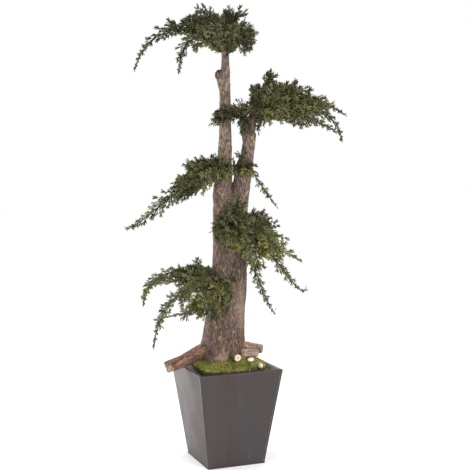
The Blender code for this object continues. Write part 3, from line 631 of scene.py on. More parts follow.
@dataclass
class Planter:
    """The folded planter: four leaning walls of sheet, a rolled rim, a hem and lapped corners."""

    height: float = 0.448
    rim_side: float = 0.406
    foot_side: float = 0.278
    sheet: float = 0.002
    fold_width: float = 0.005
    fold_height: float = 0.010
    fold_proud: float = 0.0006
    hem_height: float = 0.008
    hem_proud: float = 0.0015
    lap_width: float = 0.009
    lap_proud: float = 0.0007
    edge_radius: float = 0.0008

    def half(self, height: float) -> float:
        """Give half of the planter's outer width at that height."""
        share = height / self.height
        return (self.foot_side + (self.rim_side - self.foot_side) * share) / 2 - self.fold_proud

    def shell(self) -> bpy.types.Object:
        """Model the walls, floor, rim fold and hem as one shell.

        Returns:
            The shell's object.
        """
        bpy.ops.mesh.primitive_cube_add(size=1.0, location=(0, 0, self.height / 2))
        shell = take_up((2 * self.half(self.height), 2 * self.half(self.height), self.height))
        foot = self.half(0) / self.half(self.height)
        lip = self.height - self.fold_height
        with editing(shell):
            pick(shell, lambda face: face.normal.z < -0.5)
            bpy.ops.transform.resize(value=(foot, foot, 1), center_override=(0, 0, 0))
            for level in (self.hem_height, lip):
                bpy.ops.mesh.select_all(action="SELECT")
                bpy.ops.mesh.bisect(plane_co=(0, 0, level), plane_no=(0, 0, 1))
            for low, high, proud in ((0.0, self.hem_height, self.hem_proud),
                                     (lip, self.height, self.fold_proud)):
                pick(shell, lambda face: abs(face.normal.z) < 0.5
                     and low < face.calc_center_median().z < high)
                bpy.ops.mesh.extrude_region_shrink_fatten(
                    TRANSFORM_OT_shrink_fatten={"value": proud, "use_even_offset": True})
            self.hollow(shell, lip)
        return shell

    def hollow(self, shell: bpy.types.Object, lip: float) -> None:
        """Sink the inside below the rim fold, down to the floor.

        Args:
            shell: The shell, in edit mode.
            lip: The height of the fold's lower edge.
        """
        pick(shell, lambda face: face.normal.z > 0.5
             and face.calc_center_median().z > self.height - MM)
        bpy.ops.mesh.inset(thickness=self.fold_width, depth=0)
        at = self.half(self.height) - self.fold_width + self.fold_proud
        for drop, half in ((self.fold_height, self.half(lip) - self.fold_width),
                           (0.0, self.half(lip) - self.sheet),
                           (lip - self.sheet, self.half(self.sheet) - self.sheet)):
            size = half / at
            bpy.ops.mesh.extrude_region_move(TRANSFORM_OT_translate={"value": (0, 0, -drop)})
            bpy.ops.transform.resize(value=(size, size, 1), center_override=(0, 0, 0))
            at = half

    def lap(self, turn: float) -> bpy.types.Object:
        """Model the lapped seam of one corner.

        Args:
            turn: The corner's turn about the planter's axis, in radians.

        Returns:
            The seam's object.
        """
        low, high = self.hem_height, self.height - self.fold_height
        bpy.ops.mesh.primitive_cube_add(size=1.0, location=(0, 0, (low + high) / 2))
        seam = take_up((self.lap_width, 2 * self.lap_proud, high - low))
        with editing(seam):
            for level in (low, high):
                pick(seam, lambda face: abs(face.normal.z) > 0.5
                     and abs(face.calc_center_median().z - level) < MM)
                half = self.half(level)
                bpy.ops.transform.translate(value=(half - self.lap_width / 2, -half, 0))
            bpy.ops.mesh.select_all(action="SELECT")
            bpy.ops.mesh.bevel(offset=self.lap_proud / 2, segments=2, affect="EDGES")
        seam.rotation_euler.z = turn
        set_origin(seam)
        return seam

    def build(self) -> None:
        """Model the planter and dress it and its fill."""
        shell = self.shell()
        apply_modifier(shell, "BEVEL", width=self.edge_radius, segments=2, limit_method="ANGLE",
                       angle_limit=math.radians(40))
        points = points_of(shell)
        points[:, 2] = np.maximum(points[:, 2], 0.0)
        set_points(shell, points)
        activate(shell, *(self.lap(i * math.pi / 2) for i in range(4)))
        bpy.ops.object.join()
        bpy.ops.object.shade_smooth_by_angle(angle=math.radians(30))
        finish_piece(shell, "folded_planter", PatinatedSheet().material(), ("planter",))
        # The inward faces below the rim's edge take the pale inner sheet: bare zinc, made paler as
        # painted light on the shadowed inner walls.
        shell.data.materials.append(BARE_SHEET_WITH_PAINTED_LIGHT.material())
        for face in shell.data.polygons:
            inward = face.normal.x * face.center.x + face.normal.y * face.center.y < -0.1 * MM
            if inward and face.center.z < self.height - self.edge_radius:
                face.material_index = 1
        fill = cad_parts["fill"]
        fill.data.materials.clear()
        fill.data.materials.append(DryFill().material())


# Trunk, stems, boughs and roots


class Mask(Enum):
    """What a mark does: it wears the bark bare or paints a highlight on it, stains it or paints
    shade on it, knots it, or only changes its girth.
    """

    WORN = "worn"
    STAIN = "stain"
    KNOT = "knot"
    GIRTH = "girth"


@dataclass(frozen=True)
class Mark:
    """A mark on the bark: what it does, where it is in the tree's own frame, its half sizes, how
    deep it is sunk and how strong its colour is."""

    mask: Mask
    place: Triple
    half: Triple
    sunk: float = 0.0
    strength: float = 1.0
    rim: ClassVar[float] = 1.15
    fade: ClassVar[float] = 0.55
    fray_mm: ClassVar[float] = 5.0
    streak_mm: ClassVar[float] = 3.4

    def reach(self, points: np.ndarray) -> np.ndarray:
        """Say how far each point is inside the mark.

        Args:
            points: Places in the planter's frame.

        Returns:
            A value for each from 0 outside to 1 well inside, with an edge frayed along the grain.
        """
        own = to_own(points)
        away = np.linalg.norm((own - np.array(self.place)) / np.array(self.half), axis=1)
        if self.mask is Mask.GIRTH:
            return np.clip((self.rim - away) / self.fade, 0.0, 1.0)
        frayed = noise_at(own * (1.0, 1.0, 0.22) / (self.fray_mm * MM))
        streaks = 0.78 + 0.9 * noise_at(own * (1.0, 1.0, 0.15) / (self.streak_mm * MM))
        inside = np.clip((self.rim + self.fade * frayed - away) / self.fade, 0.0, 1.0)
        return inside * np.clip(streaks, 0.2, 1.0)


MARKS = (
    Mark(Mask.WORN, (-0.008, -0.105, 0.500), (0.042, 0.05, 0.027)),
    Mark(Mask.STAIN, (-0.056, -0.085, 0.540), (0.027, 0.05, 0.032)),
    Mark(Mask.KNOT, (-0.0716, -0.085, 0.520), (0.010, 0.03, 0.012), 0.006),
    # Painted shade under the low right pad, laid on with the stain tint.
    Mark(Mask.STAIN, (-0.012, -0.090, 0.980), (0.058, 0.06, 0.052), 0.0, 0.9),
    # Painted shade on the left stem, right of the broken snag top.
    Mark(Mask.STAIN, (-0.004, -0.030, 1.816), (0.018, 0.05, 0.014)),
    # Painted shade in the crease of the fork, along the left stem's right edge.
    Mark(Mask.STAIN, (0.014, -0.060, 1.260), (0.012, 0.06, 0.070)),
    # Painted shade under the middle pad, on the left stem.
    Mark(Mask.STAIN, (-0.012, -0.060, 1.305), (0.040, 0.06, 0.024)),
    # Painted highlight on the trunk's lit right side, below the low right pad, laid on with the
    # wear tint.
    Mark(Mask.WORN, (0.071, -0.060, 0.733), (0.026, 0.06, 0.120), 0.0, 0.45),
    Mark(Mask.GIRTH, (0.068, -0.010, 1.455), (0.024, 0.08, 0.060), 0.010),
    Mark(Mask.GIRTH, (0.024, -0.010, 1.510), (0.022, 0.08, 0.090), -0.002),
    Mark(Mask.GIRTH, (-0.106, 0.000, 0.625), (0.030, 0.10, 0.085), 0.006),
    Mark(Mask.GIRTH, (0.093, 0.000, 0.850), (0.030, 0.10, 0.110), -0.003),
    Mark(Mask.GIRTH, (-0.060, 0.000, 1.160), (0.025, 0.10, 0.060), 0.004),
    Mark(Mask.GIRTH, (-0.058, 0.000, 1.260), (0.025, 0.10, 0.050), -0.003),
    Mark(Mask.GIRTH, (0.021, 0.000, 1.735), (0.020, 0.08, 0.100), -0.003),
    Mark(Mask.GIRTH, (-0.025, 0.000, 1.858), (0.015, 0.08, 0.040), 0.005),
)
LOG_MARKS = (Mark(Mask.WORN, (-0.266, -0.078, 0.440), (0.034, 0.06, 0.030)),)


@dataclass(frozen=True)
class CutEnd:
    """The sawn end of a root or stub: a thin disc of wood with a slight dish, inside the bark."""

    name: str
    place: Triple
    facing: Triple
    radius: float
    rings: int = 8
    corners: int = 40
    thickness: float = 0.0030
    dish_mm: float = 0.05
    proud: float = 0.0008

    def build(self, wood: bpy.types.Material) -> None:
        """Model the disc, turn it to its limb and dress it.

        Args:
            wood: The material of the sawn wood.
        """
        bpy.ops.mesh.primitive_cylinder_add(vertices=self.corners, radius=self.radius,
                                            depth=self.thickness,
                                            location=(0, 0, -self.thickness / 2))
        disc = take_up()
        with editing(disc):
            pick(disc, lambda face: face.normal.z > 0.5)
            for _ in range(self.rings):
                bpy.ops.mesh.inset(thickness=self.radius / (self.rings + 1),
                                   depth=-self.dish_mm * MM)
            pick(disc, lambda face: len(face.verts) > 4)
            bpy.ops.mesh.poke()
        flat = points_of(disc)
        set_values(disc, ring=np.hypot(flat[:, 0], flat[:, 1]))
        facing = Vector(self.facing).normalized()
        aim = facing.to_track_quat("Z", "Y").to_matrix().to_4x4()
        place = Vector(self.place) + facing * self.proud
        disc.data.transform(TURN @ Matrix.Translation(place) @ aim)
        finish_piece(disc, self.name, wood)


FRONT_STUB_END = CutEnd("front_stub_sawn_end", (0.057, -0.137, 0.508), (0.012, -0.024, -0.002),
                        0.0160)
SHORT_LOG_END = CutEnd("short_log_near_end", (0.0812, -0.1220, 0.5282),
                       (-0.0318, -0.0191, 0.0036), 0.0182)
SHORT_LOG_FAR_END = CutEnd("short_log_far_end", (0.1448, -0.0838, 0.5210),
                           (0.0318, 0.0191, -0.0036), 0.0168)
LOG_ROOT_END = CutEnd("log_root_sawn_end", (-0.276, -0.080, 0.450), (-0.084, -0.016, -0.0292),
                      0.0250)
RIGHT_ROOT_END = CutEnd("right_root_sawn_end", (0.170, -0.040, 0.531), (0.060, -0.018, -0.004),
                        0.0185)


@dataclass
class Limb:
    """One skin of bark over solids of the frame, and the relief of its ridges. The relief runs
    out to a flat rim at the limb's sawn end."""

    name: str
    nodes: tuple[str, ...]
    grain: Triple = (0.0, 0.0, 1.0)
    voxel: float = 0.0033
    ridge_mm: float = 7.0
    depth: float = 0.0042
    end: CutEnd | None = None
    marks: tuple[Mark, ...] = ()
    stretch: float = 0.30
    swell_mm: float = 0.6
    rim_mm: float = 3.0
    wear_and_highlight_smooth: float = 0.4

    def skin(self) -> bpy.types.Object:
        """Grow one skin over the solids, with their gaps closed and their facets smoothed.

        Returns:
            The skin's object.
        """
        thing = copy_nodes(*self.nodes)
        apply_modifier(thing, "DISPLACE", strength=self.swell_mm * MM, mid_level=0.0)
        apply_modifier(thing, "REMESH", mode="VOXEL", voxel_size=self.voxel)
        apply_modifier(thing, "SMOOTH", factor=0.5, iterations=10)
        return thing

    def coordinates(self, points: np.ndarray) -> np.ndarray:
        """Squeeze places along the grain, so that a pattern on them is drawn out along it."""
        along = unit(to_row(np.array([self.grain], dtype=float)))[0]
        return points - np.outer(points @ along, along) * (1 - self.stretch)

    def relief(self, grain: np.ndarray) -> np.ndarray:
        """Work out how high the bark stands at places: stringy ridges parted by furrows.

        Args:
            grain: The squeezed places.

        Returns:
            Heights from 0 in a furrow to 1 on a crest.
        """
        lumps = grain / (self.ridge_mm * MM)
        bent = lumps + 0.55 * noise_at(lumps * 0.45 + 7.3)[:, None]
        ridges = 1.0 - np.abs(noise_at(bent)) * 2.1
        strips = 1.0 - np.abs(noise_at(bent * 2.3 + 3.1)) * 2.0
        flakes = noise_at(lumps * 4.1 + 11.7)
        return np.clip(1.0 - (0.48 * ridges + 0.30 * strips + 0.26 * flakes), 0.0, 1.0)

    def build(self, finish: JuniperBark) -> None:
        """Model the skin, raise its relief and dress it.

        Args:
            finish: The bark's finish.
        """
        thing = self.skin()
        points, normals = points_of(thing), points_of(thing, "normal")
        grain = self.coordinates(points)
        height = self.relief(grain)
        lift = (height - 0.5) * self.depth
        if self.end is not None:
            beyond = (points - to_row(np.array(self.end.place))) @ unit(
                to_row(np.array(self.end.facing)))
            lift *= 1 - np.clip(1 + beyond / (self.rim_mm * MM), 0.0, 1.0)
        masks = {mask: np.zeros(len(points)) for mask in Mask}
        for mark in self.marks:
            there = mark.reach(points)
            masks[mark.mask] = np.maximum(masks[mark.mask], there * mark.strength)
            lift -= mark.sunk * there
        lift *= 1 - self.wear_and_highlight_smooth * masks[Mask.WORN]
        set_points(thing, points + normals * lift[:, None])
        set_values(thing, grain, relief=height,
                   **{mask.value: masks[mask] for mask in Mask if mask is not Mask.GIRTH})
        shade_smooth(thing)
        finish_piece(thing, self.name, finish.material(), self.nodes)


@dataclass
class Snag:
    """The dark broken top of the dead limb on the left stem: a lumpy knob of torn wood. Its darker
    colours are partly the torn wood's own and partly painted shade, and painted shade darkens it
    further on its upper left side.
    """

    place: Triple = (-0.0285, -0.013, 1.7945)
    half: Triple = (0.0188, 0.0175, 0.0235)
    lean: float = math.radians(16)
    painted_shade_side: Triple = (-0.60, 0.0, 0.80)
    painted_shade_strength: float = 0.62
    lump_mm: float = 9.0
    lump_depth: float = 0.0028

    def build(self, bark: JuniperBark) -> None:
        """Model the knob, tear its surface and dress it.

        Args:
            bark: The finish that it shares, darkened.
        """
        bpy.ops.mesh.primitive_uv_sphere_add(segments=48, ring_count=32, radius=1.0)
        knob = take_up(self.half)
        knob.rotation_euler.y = self.lean
        set_origin(knob)
        points, normals = points_of(knob), points_of(knob, "normal")
        lumps = noise_at(points / (self.lump_mm * MM) * np.array((1.0, 1.0, 0.5)))
        points += normals * (lumps * self.lump_depth)[:, None]
        points = to_row(points + np.array(self.place))
        set_points(knob, points)
        shade_smooth(knob)
        # A darker copy of the bark: partly the torn wood's own colour, partly painted shade on the
        # broken top.
        torn_and_shaded = replace(bark, name="torn_juniper_wood", furrow="#1d1613", flank="#4b3f39",
                       crest="#7d6e65", bleached="#9a8b81")
        # Painted shade: the knob's side that faces up and to the left is darkened.
        shade = self.painted_shade_strength * np.clip(normals @ np.array(self.painted_shade_side), 0.0, 1.0)
        set_values(knob, points, relief=np.clip(0.62 + 0.5 * lumps - shade, 0.0, 1.0))
        finish_piece(knob, "broken_snag_top", torn_and_shaded.material())


@dataclass
class Wood:
    """All the wood that shows: the forked trunk, the stems and boughs, and the cut roots."""

    bark: JuniperBark = JuniperBark()
    root_bark: JuniperBark = JuniperBark(
        "weathered_root_bark", "#3a3029", "#83705f", "#ad9d8b", "#cdbdab", worn="#cdb79d")
    pale_bark: JuniperBark = JuniperBark(
        "bleached_log_bark", "#43392f", "#8d7e71", "#b5a395", "#d4c5b7", darkest_below=-1.0,
        lightest_above=0.0)
    fresh_end: SawnEnd = SawnEnd()
    grey_end: SawnEnd = SawnEnd("weathered_sawn_end", "#c9b8a2", "#a8937c", "#6b5645")
    brown_end: SawnEnd = SawnEnd("browned_sawn_end", "#a8917c", "#8f7662", "#5b4437")

    def build(self) -> None:
        """Model every limb and its cut ends."""
        Limb("trunk_and_stems", ("trunk", "left_stem", "right_stem", "right_bough", "left_bough"),
             marks=MARKS).build(self.bark)
        Limb("log_root", ("left_root",), (-0.226, -0.060, -0.096), 0.0026, 9.0, 0.0020,
             LOG_ROOT_END, LOG_MARKS).build(self.root_bark)
        Limb("right_root_stub", ("right_root",), (0.110, -0.028, -0.010), 0.0026, 7.0, 0.0026,
             RIGHT_ROOT_END).build(self.pale_bark)
        Limb("short_front_log", ("short_log",), (0.0318, 0.0191, -0.0036), 0.0022, 6.0, 0.0024,
             SHORT_LOG_END).build(self.pale_bark)
        Limb("small_front_stub", ("front_stub",), (0.012, -0.024, -0.002), 0.0018, 6.0, 0.0016,
             FRONT_STUB_END).build(self.bark)
        for finish, ends in ((self.fresh_end, (FRONT_STUB_END,)),
                             (self.grey_end, (SHORT_LOG_END, SHORT_LOG_FAR_END, LOG_ROOT_END)),
                             (self.brown_end, (RIGHT_ROOT_END,))):
            wood = finish.material()
            for end in ends:
                end.build(wood)
        Snag().build(self.bark)


# Foliage


class Tint(Enum):
    """The tints of the scale leaves, from the shaded outer sprays to the light inner ones."""

    DEEP = ScaleLeaf("deep_green", "#3e3f28")
    GREEN = ScaleLeaf("mid_green", "#565735", -0.08)
    GREY = ScaleLeaf("grey_green", "#6e6f53", 0.20)
    OLIVE = ScaleLeaf("olive", "#727142", 0.42)
    LIGHT = ScaleLeaf("yellow_green", "#88864b", 0.72)


@dataclass(frozen=True)
class Tuft:
    """A spray of foliage that ends in a fan: its height and azimuth on its limb, its tip, how high
    its stem arches, how far above the tip it turns down, how wide it spreads, and its limb, where
    that isn't the pad's own."""

    height: float
    azimuth: float
    tip: Triple
    arch: float
    drop: float
    spread: float
    seed: int = 0
    limb: str = ""
    root_width: ClassVar[float] = 0.40
    widening: ClassVar[float] = 1.12
    full_width: ClassVar[float] = 0.96
    narrowing: ClassVar[float] = 0.45

    def half_width(self, share: float) -> float:
        """Give the half width at a share of the way to the tip."""
        near = self.root_width + self.widening * share
        return self.spread * (near if share < 0.5 else self.far_width(share))

    def far_width(self, share: float) -> float:
        """Give the half width past the middle, as a part of the spread."""
        return self.full_width - self.narrowing * (2 * share - 1) ** 2


class Tail(Tuft):
    """A spray that thins to a thread."""

    thread_width: ClassVar[float] = 0.16
    body_width: ClassVar[float] = 0.80
    thinning: ClassVar[float] = 1.15

    def far_width(self, share: float) -> float:
        """Give the half width past the middle, as a part of the spread."""
        return self.thread_width + self.body_width * (2 * (1 - share)) ** self.thinning


@dataclass(frozen=True)
class Lobe:
    """One rounded part of a pad that is dense with sprays: the height on its limb that they grow
    from, its middle and half size, and how many they are."""

    height: float
    centre: Triple
    half: Triple
    count: int
    seed: int = 0
    limb: str = ""


@dataclass(frozen=True)
class Pad:
    """One pad of foliage: its limb, the middle and half size of its dense part, the azimuths of
    the ring round it, how light it is, its lobes, and its sprays, named and fine."""

    limb: str
    height: float
    centre: Triple
    half: Triple
    ring: tuple[int, ...]
    light: float
    lobes: tuple[Lobe, ...]
    sprays: dict[str, Tuft]
    sprigs: tuple[Tuft, ...]


PADS = {
    "top_pad": Pad("left_stem", 1.900, (-0.035, 0.0, 2.000), (0.165, 0.155, 0.075),
                   (-112, 52, 112), -0.08, (
        Lobe(1.910, (-0.109, 0.000, 2.021), (0.108, 0.130, 0.066), 16, 16),
        Lobe(1.905, (0.058, 0.000, 1.972), (0.095, 0.130, 0.071), 16, 6),
        Lobe(1.915, (-0.012, 0.030, 2.035), (0.083, 0.120, 0.071), 8, 22),
    ), {
        "long_tail": Tail(1.924, 178, (-0.415, -0.030, 1.803), 0.143, 0.191, 0.042, 47),
        "short_tail": Tail(1.902, -152, (-0.210, -0.070, 1.787), 0.058, 0.233, 0.042, 45),
        "spike": Tuft(1.938, 140, (-0.122, 0.020, 2.102), 0.088, -0.014, 0.051, 36),
        "crest": Tuft(1.951, -30, (0.055, -0.030, 2.082), 0.110, -0.040, 0.057, 5),
        "right_reach": Tuft(1.921, 9, (0.132, 0.010, 1.954), 0.110, 0.004, 0.044, 33),
        "fringe": Tuft(1.895, -57, (0.091, -0.115, 1.888), 0.108, 0.035, 0.054, 41),
    }, (
        Tuft(1.936, 170, (-0.252, -0.020, 2.036), 0.067, -0.049, 0.050, 23),
        Tuft(1.907, -40, (0.099, -0.060, 1.896), 0.074, 0.080, 0.041, 30),
        Tuft(1.901, -160, (-0.131, -0.060, 1.887), 0.039, 0.063, 0.039, 28),
        Tuft(1.941, 60, (0.006, 0.010, 2.091), 0.060, -0.014, 0.032, 31),
    )),
    "right_pad": Pad("right_bough", 1.600, (0.277, 0.0, 1.670), (0.160, 0.150, 0.075),
                     (-100, 20, 82), 0.11, (
        Lobe(1.600, (0.190, 0.000, 1.697), (0.072, 0.100, 0.085), 12, 18),
        Lobe(1.605, (0.284, 0.000, 1.701), (0.087, 0.130, 0.083), 16, 18),
        Lobe(1.600, (0.400, 0.000, 1.641), (0.115, 0.120, 0.067), 12, 5),
        Lobe(1.600, (0.048, -0.060, 1.619), (0.069, 0.050, 0.043), 8, 30, limb="left_bough"),
        Lobe(1.600, (-0.008, -0.085, 1.601), (0.063, 0.045, 0.049), 12, 37, limb="left_bough"),
        Lobe(1.575, (0.088, -0.060, 1.551), (0.037, 0.035, 0.045), 7, 28, limb="left_bough"),
    ), {
        "long_tail": Tail(1.602, -12, (0.556, -0.050, 1.604), 0.177, 0.030, 0.039, 34),
        "front_tail": Tail(1.584, -48, (0.523, -0.142, 1.479), 0.031, 0.224, 0.043, 13),
        "back_tail": Tail(1.579, 35, (0.522, 0.060, 1.522), 0.051, 0.056, 0.047, 32),
        "spike": Tuft(1.641, 60, (0.207, 0.030, 1.812), 0.075, -0.055, 0.046, 41),
        "crest": Tuft(1.638, -32, (0.308, -0.010, 1.751), 0.074, -0.029, 0.049),
        "wing": Tuft(1.607, -132, (-0.056, -0.100, 1.557), 0.075, 0.024, 0.038, 7,
                     limb="left_bough"),
        "inner_tuft": Tuft(1.605, 120, (0.139, 0.060, 1.753), 0.031, -0.105, 0.046, 46,
                           limb="left_bough"),
    }, (
        Tuft(1.631, 10, (0.412, 0.020, 1.721), 0.099, 0.005, 0.031, 17),
        Tuft(1.612, -70, (0.177, -0.110, 1.569), 0.098, 0.074, 0.049, 3),
        Tuft(1.602, 80, (0.068, 0.020, 1.673), 0.019, -0.006, 0.039, 21, limb="left_bough"),
        Tuft(1.561, -30, (0.150, -0.050, 1.535), -0.023, 0.010, 0.024),
        Tuft(1.636, 80, (0.213, 0.030, 1.828), 0.067, -0.114, 0.035, 2),
        Tuft(1.603, -60, (0.347, -0.090, 1.548), 0.016, 0.060, 0.042, 33),
        Tuft(1.594, -35, (0.392, -0.080, 1.568), 0.074, 0.060, 0.036, 58),
    )),
    "middle_pad": Pad("left_stem", 1.350, (-0.035, -0.05, 1.340), (0.150, 0.130, 0.065),
                      (-100, 100, 150), 0.19, (
        Lobe(1.350, (-0.071, -0.040, 1.361), (0.125, 0.110, 0.060), 16, 2),
        Lobe(1.350, (-0.170, -0.030, 1.287), (0.087, 0.090, 0.065), 12, 18),
        Lobe(1.355, (0.086, -0.070, 1.382), (0.067, 0.035, 0.023), 7, 20, limb="right_stem"),
        Lobe(1.345, (0.097, -0.075, 1.345), (0.060, 0.035, 0.016), 7, 22, limb="right_stem"),
        Lobe(1.350, (-0.008, -0.095, 1.342), (0.050, 0.035, 0.036), 9),
    ), {
        "long_tail": Tail(1.353, -172, (-0.466, -0.060, 1.108), -0.039, -0.033, 0.055, 41),
        "under_tail": Tail(1.333, -142, (-0.223, -0.110, 1.202), 0.054, 0.060, 0.061, 38),
        "right_tail": Tail(1.374, -55, (0.240, -0.075, 1.184), -0.084, 0.023, 0.025, 38,
                           limb="right_stem"),
        "up_tuft": Tuft(1.382, -112, (0.071, -0.085, 1.449), 0.058, -0.026, 0.030, 46,
                        limb="right_stem"),
        "left_tuft": Tuft(1.381, -122, (-0.032, -0.070, 1.426), 0.030, -0.045, 0.044, 58),
    }, (
        Tuft(1.329, -120, (-0.178, -0.110, 1.249), -0.037, 0.012, 0.041, 19),
        Tuft(1.376, 165, (-0.185, 0.020, 1.373), 0.040, 0.000, 0.030, 23),
    )),
    "low_right_pad": Pad("trunk", 1.075, (0.140, -0.055, 1.045), (0.135, 0.120, 0.085),
                         (-58, 40), 0.30, (
        Lobe(1.085, (0.050, -0.100, 1.126), (0.081, 0.070, 0.073), 14),
        Lobe(1.080, (0.140, -0.060, 1.042), (0.095, 0.110, 0.089), 16, 13),
        Lobe(1.080, (0.205, -0.050, 0.981), (0.068, 0.090, 0.060), 10, 59),
        Lobe(1.085, (0.153, 0.060, 1.113), (0.072, 0.060, 0.062), 6, 14),
        Lobe(1.075, (0.002, -0.115, 1.055), (0.060, 0.045, 0.048), 12),
        Lobe(1.120, (-0.014, -0.110, 1.138), (0.036, 0.035, 0.030), 6),
        Lobe(1.060, (0.048, -0.125, 1.012), (0.040, 0.035, 0.032), 7),
    ), {
        "long_tail": Tail(1.114, -32, (0.352, -0.090, 0.936), -0.080, 0.031, 0.045, 18),
        "hook_tail": Tail(1.100, -6, (0.376, -0.020, 0.827), -0.098, -0.068, 0.037, 7),
        "fall": Tail(1.051, -32, (0.230, -0.105, 0.735), -0.175, -0.041, 0.035, 47),
        "top_tuft": Tuft(1.135, -48, (0.050, -0.095, 1.232), 0.030, -0.030, 0.050),
        "right_reach": Tuft(1.113, 12, (0.161, -0.020, 1.169), 0.040, -0.019, 0.043, 58),
        "left_reach": Tuft(1.089, -104, (-0.033, -0.125, 1.088), 0.011, 0.043, 0.042, 11),
    }, (
        Tuft(1.073, -70, (0.115, -0.150, 0.927), 0.058, 0.069, 0.038),
        Tuft(1.072, -50, (0.166, -0.100, 0.902), -0.021, 0.036, 0.033, 23),
    )),
    "low_left_pad": Pad("trunk", 0.820, (-0.115, -0.040, 0.825), (0.130, 0.130, 0.075),
                        (-118, 125), 0.33, (
        Lobe(0.830, (-0.133, -0.030, 0.862), (0.120, 0.100, 0.069), 16, 1),
        Lobe(0.825, (-0.006, -0.110, 0.807), (0.048, 0.050, 0.064), 10),
        Lobe(0.810, (-0.039, -0.110, 0.754), (0.059, 0.045, 0.054), 8),
        Lobe(0.810, (-0.140, -0.060, 0.714), (0.045, 0.070, 0.034), 6),
        Lobe(0.795, (0.005, -0.120, 0.750), (0.026, 0.035, 0.046), 8),
    ), {
        "left_reach": Tail(0.881, 176, (-0.392, 0.020, 0.744), 0.021, 0.149, 0.046, 10),
        "long_tail": Tail(0.861, -158, (-0.378, -0.100, 0.732), -0.067, 0.231, 0.044, 35),
        "fall": Tail(0.785, -152, (-0.330, -0.115, 0.539), 0.091, 0.236, 0.037),
        "low_twig": Tail(0.727, -130, (-0.292, -0.165, 0.711), -0.002, -0.017, 0.021, 49),
        "up_tuft": Tuft(0.874, -150, (-0.128, -0.060, 0.936), 0.000, -0.030, 0.056, 31),
        "front_fall": Tuft(0.825, -92, (-0.060, -0.150, 0.680), 0.050, 0.080, 0.050),
        "right_tuft": Tuft(0.850, -66, (0.028, -0.130, 0.835), 0.030, 0.020, 0.042),
    }, (
        Tuft(0.818, -140, (-0.206, -0.110, 0.743), 0.026, 0.050, 0.044, 36),
        Tuft(0.775, -120, (-0.106, -0.130, 0.693), 0.030, 0.059, 0.043, 34),
        Tuft(0.761, -150, (-0.192, -0.080, 0.664), 0.029, 0.050, 0.037, 32),
    )),
}


class Bark:
    """The limbs as solids in the tree's own frame, to grow sprays from and keep leaves clear of."""

    names: ClassVar[tuple[str, ...]] = ("trunk", "left_stem", "right_stem", "right_bough",
                                        "left_bough", "left_root", "right_root", "front_stub")
    reach: ClassVar[float] = 0.06

    def __init__(self) -> None:
        """Read the limbs' solids from the frame."""
        self.trees: dict[str, BVHTree] = {}
        self.points: dict[str, np.ndarray] = {}
        back = TURN.inverted()
        every_point: list[Vector] = []
        every_face: list[tuple[int, ...]] = []
        for name in self.names:
            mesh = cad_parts[name].data
            points = [back @ vert.co for vert in mesh.vertices]
            faces = [tuple(face.vertices) for face in mesh.polygons]
            self.points[name] = np.array([tuple(point) for point in points])
            self.trees[name] = BVHTree.FromPolygons(points, faces)
            start = len(every_point)
            every_point.extend(points)
            every_face.extend(tuple(start + i for i in face) for face in faces)
        self.all = BVHTree.FromPolygons(every_point, every_face)

    def start(self, limb: str, height: float, azimuth: float) -> tuple[Vector, Vector]:
        """Find where a spray leaves its limb.

        Args:
            limb: The limb's name.
            height: The height of the place.
            azimuth: Its direction round the limb in degrees.

        Returns:
            The place on the bark and the direction out of it.
        """
        rows = self.points[limb]
        near = rows[np.abs(rows[:, 2] - height) < self.reach]
        middle = (near.min(axis=0) + near.max(axis=0)) / 2
        centre = Vector((middle[0], middle[1], height))
        angle = math.radians(azimuth)
        out = Vector((math.cos(angle), math.sin(angle), 0.0))
        return self.trees[limb].ray_cast(centre, out)[0] or centre, out

    def is_clear(self, point: Vector, margin: float) -> bool:
        """Say whether a place is outside the wood by more than a margin."""
        place, normal, _, _ = self.all.find_nearest(point)
        return (point - place).dot(normal) > margin


@dataclass(frozen=True)
class Habit:
    """How branchlets stand along a spray's stem: from where, to where, how close and how far up,
    from where leaves cover the stem, and how thick it is at its root."""

    first: float
    last: float
    spacing: float
    lift: float
    leafy_from: float
    stem_radius: float


REACHING = Habit(0.08, 0.98, 0.0085, 0.02, 0.14, 0.0036)
INNER = Habit(0.12, 1.00, 0.0130, 0.10, 0.12, 0.0026)


def by_tint() -> dict[Tint, list[tuple]]:
    """Make an empty list for each tint."""
    return {tint: [] for tint in Tint}


